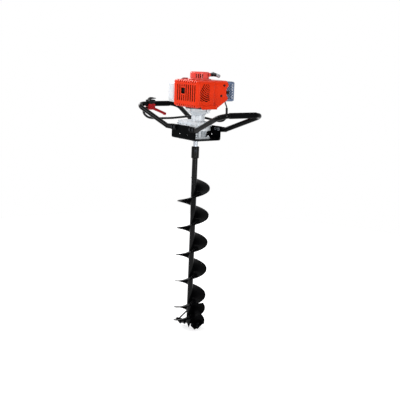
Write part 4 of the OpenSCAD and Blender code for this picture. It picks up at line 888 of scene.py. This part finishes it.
@dataclass
class Bit(Assembly):
    """The screw bit with its flights, cutters and coupling.

    Attributes:
        tube_radius: Radius of the bit's tube in millimetres.
        pitch: Rise of the flight in one turn.
        plate: Thickness of the flight.
        start_angle: Direction of the main flight's lower end, in degrees.
        start_height: Height of the flights' lower ends.
        heights: Heights of the main and the second flight.
        bead: Radius of the weld beads.
        bead_out: Distance of a bead's middle from the tube, as a share of its radius.
        bead_up: Distance of a bead's middle from the flight, as a share of its radius.
        bead_sides: Sides of a bead.
        ripple: Distance between the ripples of a bead.
        swell: Radii along one ripple, as shares of the bead's radius.
    """

    tube_radius: float = 13.0
    pitch: float = 130.0
    plate: float = 4.0
    start_angle: float = 33.5
    start_height: float = 31.0
    heights: tuple[float, float] = (694.0, 83.0)
    bead: float = 1.9
    bead_out: float = 0.55
    bead_up: float = 0.5
    bead_sides: int = 8
    ripple: float = 4.4
    swell: tuple[float, ...] = (1.0, 1.12, 1.0, 0.86)
    finishes: Dressing = field(
        default_factory=lambda: {
            TUBE_PAINT: ("auger_tube", "auger_sleeve"),
            BIT_PAINT: (
                "auger_flight",
                "second_flight",
                "blade_holders",
                "cutter_blades",
                "centre_point",
                "brace_rod",
            ),
            DARK_BOLT: ("cutter_bolts", "sleeve_bolt"),
            GROUND: ("output_shaft", "output_gear"),
        }
    )

    def weld(self, name: str, turn: float, height: float, side: Side) -> None:
        """Lays a rippled weld bead between a flight and the tube.

        Args:
            name: Name of the bead.
            turn: Direction of the flight's lower end, in degrees.
            height: Height of the flight.
            side: Face of the flight that the bead lies on.
        """
        reach = self.tube_radius + self.bead_out * self.bead
        turns = height / self.pitch
        length = turns * math.hypot(2 * math.pi * reach, self.pitch)
        steps = len(self.swell)
        count = round(length / (self.ripple / steps))
        lift = side.value * (self.plate / 2 + self.bead_up * self.bead)
        line: list[Vector] = []
        for i in range(count + 1):
            a = math.radians(turn) + 2 * math.pi * turns * i / count
            z = self.start_height + height * i / count + lift
            line.append(Vector((reach * math.cos(a), reach * math.sin(a), z)) * MM)
        points, faces = tube(line, lambda i, _: self.bead * MM * self.swell[i % steps], self.bead_sides)
        made = shape(name, points, faces, BIT_PAINT.make())
        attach(made, Body.BIT.value)

    def build(self) -> None:
        """Dresses the bit and lays its welds."""
        super().build()
        starts = (self.start_angle, self.start_angle + 180)
        for label, turn, height in zip(("flight", "second"), starts, self.heights):
            for side in Side:
                self.weld(f"{label}_weld_{side.name.lower()}", turn, height, side)


@dataclass
class Frame(Assembly):
    """The bent frame with its two handle loops."""

    finishes: Dressing = field(
        default_factory=lambda: {
            FRAME_PAINT: ("frame_bracket",),
            HANDLE_PAINT: ("left_handle", "right_handle"),
            RUBBER: ("left_grip", "right_grip"),
            DARK_BOLT: ("handle_bolts",),
            ZINC: ("handle_nuts", "gearbox_bolts"),
        }
    )


@dataclass
class Gearbox(Assembly):
    """The two gear cases, the neck and the gear train."""

    finishes: Dressing = field(
        default_factory=lambda: {
            CAST: ("gearbox_lower_case", "gearbox_upper_case", "clutch_housing"),
            ZINC: ("case_screws",),
            GROUND: ("gearbox_bearings", "layshaft", "clutch_drum", "clutch_shoes"),
            BLACK: ("oil_seal",),
        }
    )


@dataclass
class Engine(Assembly):
    """The engine with its covers, tank, muffler and starter.

    Attributes:
        pleat: Distance between the filter's pleats in millimetres.
        pleat_depth: Depth of the pleats.
        pleat_front: Distance of the pleats from the filter's front.
        paper: Thickness of the filter paper.
        margin: Free border round the choke in the filter.
        rope_twists: Twists of the rope's strands over its rest length.
        rope_strands: Strands that show round the rope.
        rope_groove: Depth of the grooves between them, as a share of the rope's diameter.
        rope_sides: Sides of the rope.
        rope_rings: Rings along the rope.
        rope_held: Rings at the handle that would move wholly with it; not used.
        slat_step: Distance between the slats behind the cooling vent.
        slat_rise: Rise of a slat from its outer to its inner edge.
        slat_depth: Width of a slat, inwards.
        slat_plate: Thickness of a slat.
        slat_span: Ends of the slats, from the cover's front.
        slat_drop: Places of the lowest and the highest slat, down from the cover's top.
        slat_inset: Distance of the slats from the outer faces of their posts.
        post_inset: Distance of the posts from the cover's right side.
        post: Width of a post.
        post_lap: How far a post reaches past the slats' ends.
        post_short: Distance of the posts' top ends below the highest slat.
    """

    pleat: float = 5.0
    pleat_depth: float = 5.6
    pleat_front: float = 0.3
    paper: float = 0.5
    margin: float = 9.0
    rope_twists: float = 12.0
    rope_strands: int = 6
    rope_groove: float = 0.07
    rope_sides: int = 24
    rope_rings: int = 60
    rope_held: int = 8
    slat_step: float = 5.0
    slat_rise: float = 6.0
    slat_depth: float = 5.0
    slat_plate: float = 0.9
    slat_span: tuple[float, float] = (3.5, 60.0)
    slat_drop: tuple[float, float] = (100.0, 16.0)
    slat_inset: float = 2.4
    post_inset: float = 3.9
    post: float = 2.0
    post_lap: float = 0.2
    post_short: float = 9.0
    finishes: Dressing = field(
        default_factory=lambda: {
            ORANGE: ("engine_cover", "air_cleaner_cover"),
            # The drum's paler, pinker orange is a painted highlight.
            DRUM_HIGHLIGHT_ORANGE: ("recoil_housing",),
            DARK_BOLT: ("cover_screws",),
            BLACK: ("air_box", "plug_cap", "ignition_coil", "rope_guide", "choke_lever"),
            # The castings inside the covers are charcoal as painted shade.
            INNER_CAST: ("carburettor", "crankcase", "cylinder", "flywheel"),
            MUFFLER: ("muffler",),
            GUARD: ("muffler_guard",),
            CERAMIC: ("spark_plug",),
            TANK: ("fuel_tank",),
            CAP_RED: ("fuel_cap",),
            GROUND: ("crankshaft",),
            # The pulley's ivory shows as pale bars in the drum's slots: a painted highlight.
            PULLEY_HIGHLIGHT_IVORY: ("starter_pulley",),
            GREY: ("starter_handle",),
        }
    )

    def filter_element(self) -> None:
        """Folds the filter paper round the choke's window."""
        low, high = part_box("air_filter")
        gap_low, gap_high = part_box("choke_lever")
        margin = self.margin * MM
        front = low.y + self.pleat_front * MM
        back = low.y + self.pleat_depth * MM
        count = 2 * round((high.x - low.x) / (self.pleat * MM))
        levels = (low.z, gap_low.z - margin, gap_high.z + margin, high.z)
        rows = len(levels)
        points: list[Point] = []
        faces: list[tuple[int, ...]] = []
        for i in range(count + 1):
            x = low.x + (high.x - low.x) * i / count
            points += [(x, front if i % 2 else back, z) for z in levels]
            window = gap_low.x - margin < x < gap_high.x + margin
            for band in range(rows - 1):
                # The middle band is open where the choke stands.
                if i and not (window and band == 1):
                    n = rows * i + band
                    faces.append((n - rows, n, n + 1, n - rows + 1))
        made = shape("filter_pleats", points, faces, PAPER.make())
        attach(made, Body.MACHINE.value)
        thick = made.modifiers.new("paper", "SOLIDIFY")
        thick.thickness = self.paper * MM
        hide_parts("air_filter")

    def starter_rope(self) -> None:
        """Twists the rope's strands from the pulley to the handle."""
        low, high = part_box("starter_rope")
        radius = (high.x - low.x) / 2
        middle = (low + high) / 2
        step = (high.y - low.y) / self.rope_rings
        line = [Vector((middle.x, low.y + step * i, middle.z)) for i in range(self.rope_rings + 1)]

        def strand(i: int, a: float) -> float:
            """Gives the radius of the twisted strands at a ring and an angle."""
            turn = 2 * math.pi * self.rope_twists * i / self.rope_rings
            return radius * (1 - self.rope_groove * (1 - math.cos(self.rope_strands * a - turn)))

        points, faces = tube(line, strand, self.rope_sides)
        made = shape("pull_rope", points, faces, NYLON.make())
        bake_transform(made)
        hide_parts("starter_rope")

    def shade_slats(self) -> None:
        """Sets dark sloping slats between two posts behind the vent, as painted shade that keeps the inside of
        the vent dark.
        """
        low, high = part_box("engine_cover")
        near, far = (low.y + place * MM for place in self.slat_span)
        bottom, top = (high.z - drop * MM for drop in self.slat_drop)
        face = high.x - self.post_inset * MM
        edge = face - self.slat_inset * MM
        inner = edge - self.slat_depth * MM
        rise, plate = self.slat_rise * MM, self.slat_plate * MM
        points: list[Point] = []
        faces: list[tuple[int, ...]] = []

        def bar(profile: Sequence[tuple[float, float]], start: float, end: float) -> None:
            """Adds a bar with four sides.

            Args:
                profile: Its corners in X and Z.
                start: Its first end along Y.
                end: Its other end.
            """
            n = len(points)
            points.extend((x, y, z) for y in (start, end) for x, z in profile)
            faces.extend(((n + 3, n + 2, n + 1, n), (n + 4, n + 5, n + 6, n + 7)))
            faces.extend((n + k, n + (k + 1) % 4, n + 4 + (k + 1) % 4, n + 4 + k) for k in range(4))

        for i in range(round((top - bottom) / (self.slat_step * MM)) + 1):
            z = bottom + i * self.slat_step * MM
            bar([(edge, z), (inner, z + rise), (inner, z + rise + plate), (edge, z + plate)], near, far)
        head = top - self.post_short * MM
        post = [(face, bottom), (inner, bottom), (inner, head), (face, head)]
        for start in (near - self.post_lap * MM, far + (self.post_lap - self.post) * MM):
            bar(post, start, start + self.post * MM)
        # Black slats that keep the inside of the vent dark: painted shade.
        made = shape("vent_louvre", points, faces, BLACK.make(), smooth=False)
        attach(made, Body.MACHINE.value)

    def build(self) -> None:
        """Dresses the engine and makes its filter, its rope and the dark slats behind the vent, which paint
        shade there.
        """
        super().build()
        self.filter_element()
        self.starter_rope()
        self.shade_slats()


@dataclass
class Controls(Assembly):
    """The throttle on the left grip and the cable to the engine.

    Attributes:
        sleeve_route: Middle line of the cable's ribbed sleeve in millimetres, from the throttle.
        tail_route: Middle line of the bare cable, from inside the sleeve up to the engine.
        sleeve_width: Outer diameter of the sleeve.
        cable_width: Diameter of the bare cable.
        rib: Distance between the sleeve's ribs, coarser than the real 2.5 so that they show.
        rib_shape: Radii along one rib, as shares of the sleeve's radius.
        cable_step: Distance between the rings of the bare cable.
        steps: New points from one point of a route to the next.
        sides: Sides of both.
    """

    sleeve_route: tuple[Point, ...] = (
        (-330, -57.3, 1034),
        (-329, -70, 1032),
        (-322, -82, 1022),
        (-305, -89, 1008),
        (-273.9, -88, 995),
        (-242.55, -76, 992),
        (-211.2, -48, 994),
        (-174.9, -14, 998),
        (-138.6, 14, 1005),
        (-102.3, 36, 1011),
        (-60, 50, 1013),
        (-20, 64, 1011),
        (15, 74, 1007),
        (50, 84, 1003),
        (76, 91, 1006),
        (92, 96, 1019),
        (97, 97.5, 1042),
        (97, 97, 1066),
    )
    tail_route: tuple[Point, ...] = (
        (97, 97.2, 1054),
        (97, 97, 1062),
        (97, 96.8, 1068),
        (96.8, 94.5, 1075),
        (96.6, 91, 1082),
        (96.5, 87.5, 1089),
        (96.5, 86, 1096),
        (96.5, 86, 1099),
        (96.5, 86, 1102),
    )
    sleeve_width: float = 11.0
    cable_width: float = 6.0
    rib: float = 4.0
    rib_shape: tuple[float, ...] = (1.0, 1.0, 0.86, 0.86)
    cable_step: float = 1.5
    steps: int = 6
    sides: int = 14
    finishes: Dressing = field(
        default_factory=lambda: {
            BLACK: ("cable_ferrule", "throttle_clamp", "lock_lever"),
            RED: ("throttle_body", "throttle_lever", "stop_switch"),
            ZINC: ("throttle_screws",),
        }
    )

    def cable(self) -> None:
        """Runs the ribbed sleeve from the throttle round the neck, and the bare cable up to the engine."""
        rings = len(self.rib_shape)
        line = evenly(smooth_line(self.sleeve_route, self.steps), self.rib * MM / rings)
        crest = self.sleeve_width / 2 * MM
        points, faces = tube(line, lambda i, _: crest * self.rib_shape[i % rings], self.sides)
        sleeve = shape("cable_sleeve", points, faces, LOOM.make())
        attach(sleeve, Body.MACHINE.value)
        tail_line = evenly(smooth_line(self.tail_route, self.steps), self.cable_step * MM)
        points, faces = tube(tail_line, lambda *_: self.cable_width / 2 * MM, self.sides)
        tail = shape("bare_cable", points, faces, LOOM.make())
        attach(tail, Body.MACHINE.value)
        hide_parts("throttle_cable")

    def build(self) -> None:
        """Dresses the throttle and runs the cable."""
        super().build()
        self.cable()


@dataclass(frozen=True)
class Lamp:
    """A soft light of the studio.

    Attributes:
        name: Name of the light.
        place: Where it hangs, in metres.
        size: Width and height of its face.
        power: Its power in watts.
    """

    name: str
    place: Point
    size: tuple[float, float]
    power: float


@dataclass
class Studio:
    """The pale floor and room, the soft lights and the camera.

    Attributes:
        eye: Place of the camera in metres.
        look: Direction of the camera.
        roll: Turn of the camera about its own axis, in degrees.
        lens: Focal length in millimetres.
        sensor: Width of the sensor in millimetres.
        clip: Nearest and farthest distance that the camera sees, in metres.
        ambient: Strength of the room's even light on the auger.
        radius: Radius of the round floor, in metres.
        near_glow: Share of the floor's white that a shadow near the auger leaves.
        near: Distance from the auger at which that share starts to rise to the whole.
        floor_drop: Distance of the floor below the bit's point, in millimetres.
        floor_sides: Sides of the floor's rim.
        aim: Place that the lamps face.
        lamps: The lamps.
    """

    eye: Point = (2.82006, -2.08832, 1.32078)
    look: Point = (-0.78343, 0.59085, -0.19287)
    roll: float = 2.235
    lens: float = 68.72
    sensor: float = 36.0
    clip: tuple[float, float] = (0.1, 100.0)
    ambient: float = 0.12
    radius: float = 2.6
    near_glow: float = 0.7
    near: float = 0.8
    floor_drop: float = 0.3
    floor_sides: int = 96
    aim: Point = (0.0, 0.0, 0.9)
    lamps: tuple[Lamp, ...] = (
        Lamp("key", (-1.3, -2.3, 2.4), (1.2, 1.1), 38.0),
        Lamp("front", (1.5, -3.1, 1.35), (0.7, 2.6), 22.0),
        Lamp("fill", (3.7, -0.5, 1.35), (0.6, 2.6), 60.0),
        Lamp("top", (0.6, -0.6, 3.9), (1.8, 0.5), 24.0),
        Lamp("back", (-2.5, -0.1, 2.3), (1.6, 1.0), 44.0),
        Lamp("side", (2.4, 1.9, 1.0), (1.2, 1.6), 4.0),
    )

    def camera(self) -> None:
        """Sets the camera at the photograph's angle."""
        data = bpy.data.cameras.new("camera")
        data.lens = self.lens
        data.sensor_width = self.sensor
        data.clip_start, data.clip_end = self.clip
        made = bpy.data.objects.new("camera", data)
        bpy.context.scene.collection.objects.link(made)
        made.location = self.eye
        made.rotation_mode = "QUATERNION"
        turn = Quaternion((0, 0, 1), math.radians(self.roll))
        made.rotation_quaternion = Vector(self.look).to_track_quat("-Z", "Y") @ turn
        bpy.context.scene.camera = made

    def hang(self, lamp: Lamp) -> None:
        """Hangs one lamp so that it faces the auger.

        Args:
            lamp: The lamp.
        """
        data = bpy.data.lights.new(lamp.name, "AREA")
        data.shape = "RECTANGLE"
        data.size, data.size_y = lamp.size
        data.energy = lamp.power
        made = bpy.data.objects.new(lamp.name, data)
        bpy.context.scene.collection.objects.link(made)
        made.location = lamp.place
        made.rotation_mode = "QUATERNION"
        made.rotation_quaternion = (Vector(self.aim) - Vector(lamp.place)).to_track_quat("-Z", "Y")

    def seen(self, tree: Tree) -> Socket:
        """Tells the rays that look at the background from those that light the auger.

        Args:
            tree: The floor's or the room's node tree.

        Returns:
            A mask that is 1 for the camera, for mirrors and for glass.
        """
        path = add(tree, "ShaderNodeLightPath").outputs
        mask = path["Is Camera Ray"]
        for kind in ("Is Glossy Ray", "Is Transmission Ray"):
            mask = add(tree, "ShaderNodeMath", {0: mask, 1: path[kind]}, operation="MAXIMUM").outputs[0]
        return mask

    def paint(self) -> bpy.types.Material:
        """Makes the floor's matt white, which keeps the shadow and meets the room's white at its rim.

        Returns:
            The material.
        """
        material = bpy.data.materials.new("matt_white_floor_paint")
        material.use_nodes = True
        tree = material.node_tree
        tree.nodes.clear()
        point = add(tree, "ShaderNodeTexCoord").outputs["Object"]
        away = add(tree, "ShaderNodeVectorMath", {0: point}, operation="LENGTH").outputs["Value"]
        glow = spread(tree, away, (self.near, self.radius), self.near_glow, 1.0)
        shader = add(
            tree,
            "ShaderNodeBsdfPrincipled",
            {
                "Base Color": linear("#f4f4f4"),
                "Roughness": 0.9,
                "Specular IOR Level": 0.0,
                "Emission Color": WHITE,
                "Emission Strength": product(tree, self.seen(tree), glow),
            },
        )
        add(tree, "ShaderNodeOutputMaterial", {"Surface": shader.outputs[0]})
        return material

    def floor(self) -> None:
        """Lays the round white floor under the auger."""
        turns = [2 * math.pi * k / self.floor_sides for k in range(self.floor_sides)]
        rim = [(self.radius * math.cos(a), self.radius * math.sin(a), -self.floor_drop * MM) for a in turns]
        made = shape("floor", rim, [range(self.floor_sides)], self.paint(), smooth=False)

    def room(self) -> None:
        """Makes the room: white to look at and in mirrors, with a dim, even light on the auger."""
        world = bpy.data.worlds.new("studio")
        world.use_nodes = True
        bpy.context.scene.world = world
        tree = world.node_tree
        tree.nodes.clear()
        strength = spread(tree, self.seen(tree), (0.0, 1.0), self.ambient, 1.0)
        light = add(tree, "ShaderNodeBackground", {"Color": WHITE, "Strength": strength})
        add(tree, "ShaderNodeOutputWorld", {"Surface": light.outputs[0]})

    def build(self) -> None:
        """Sets the whole studio up."""
        bpy.context.scene.view_settings.view_transform = "Standard"
        self.camera()
        self.room()
        self.floor()
        for lamp in self.lamps:
            self.hang(lamp)


def main() -> None:
    """Builds the studio and the auger's sub-assemblies."""
    logging.basicConfig(level=logging.INFO, format="%(name)s: %(message)s")
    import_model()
    for part in (Studio(), Controls(), Bit(), Frame(), Gearbox(), Engine()):
        part.build()
        LOG.info("%s is done", type(part).__name__)


if __name__ == "__main__":
    main()
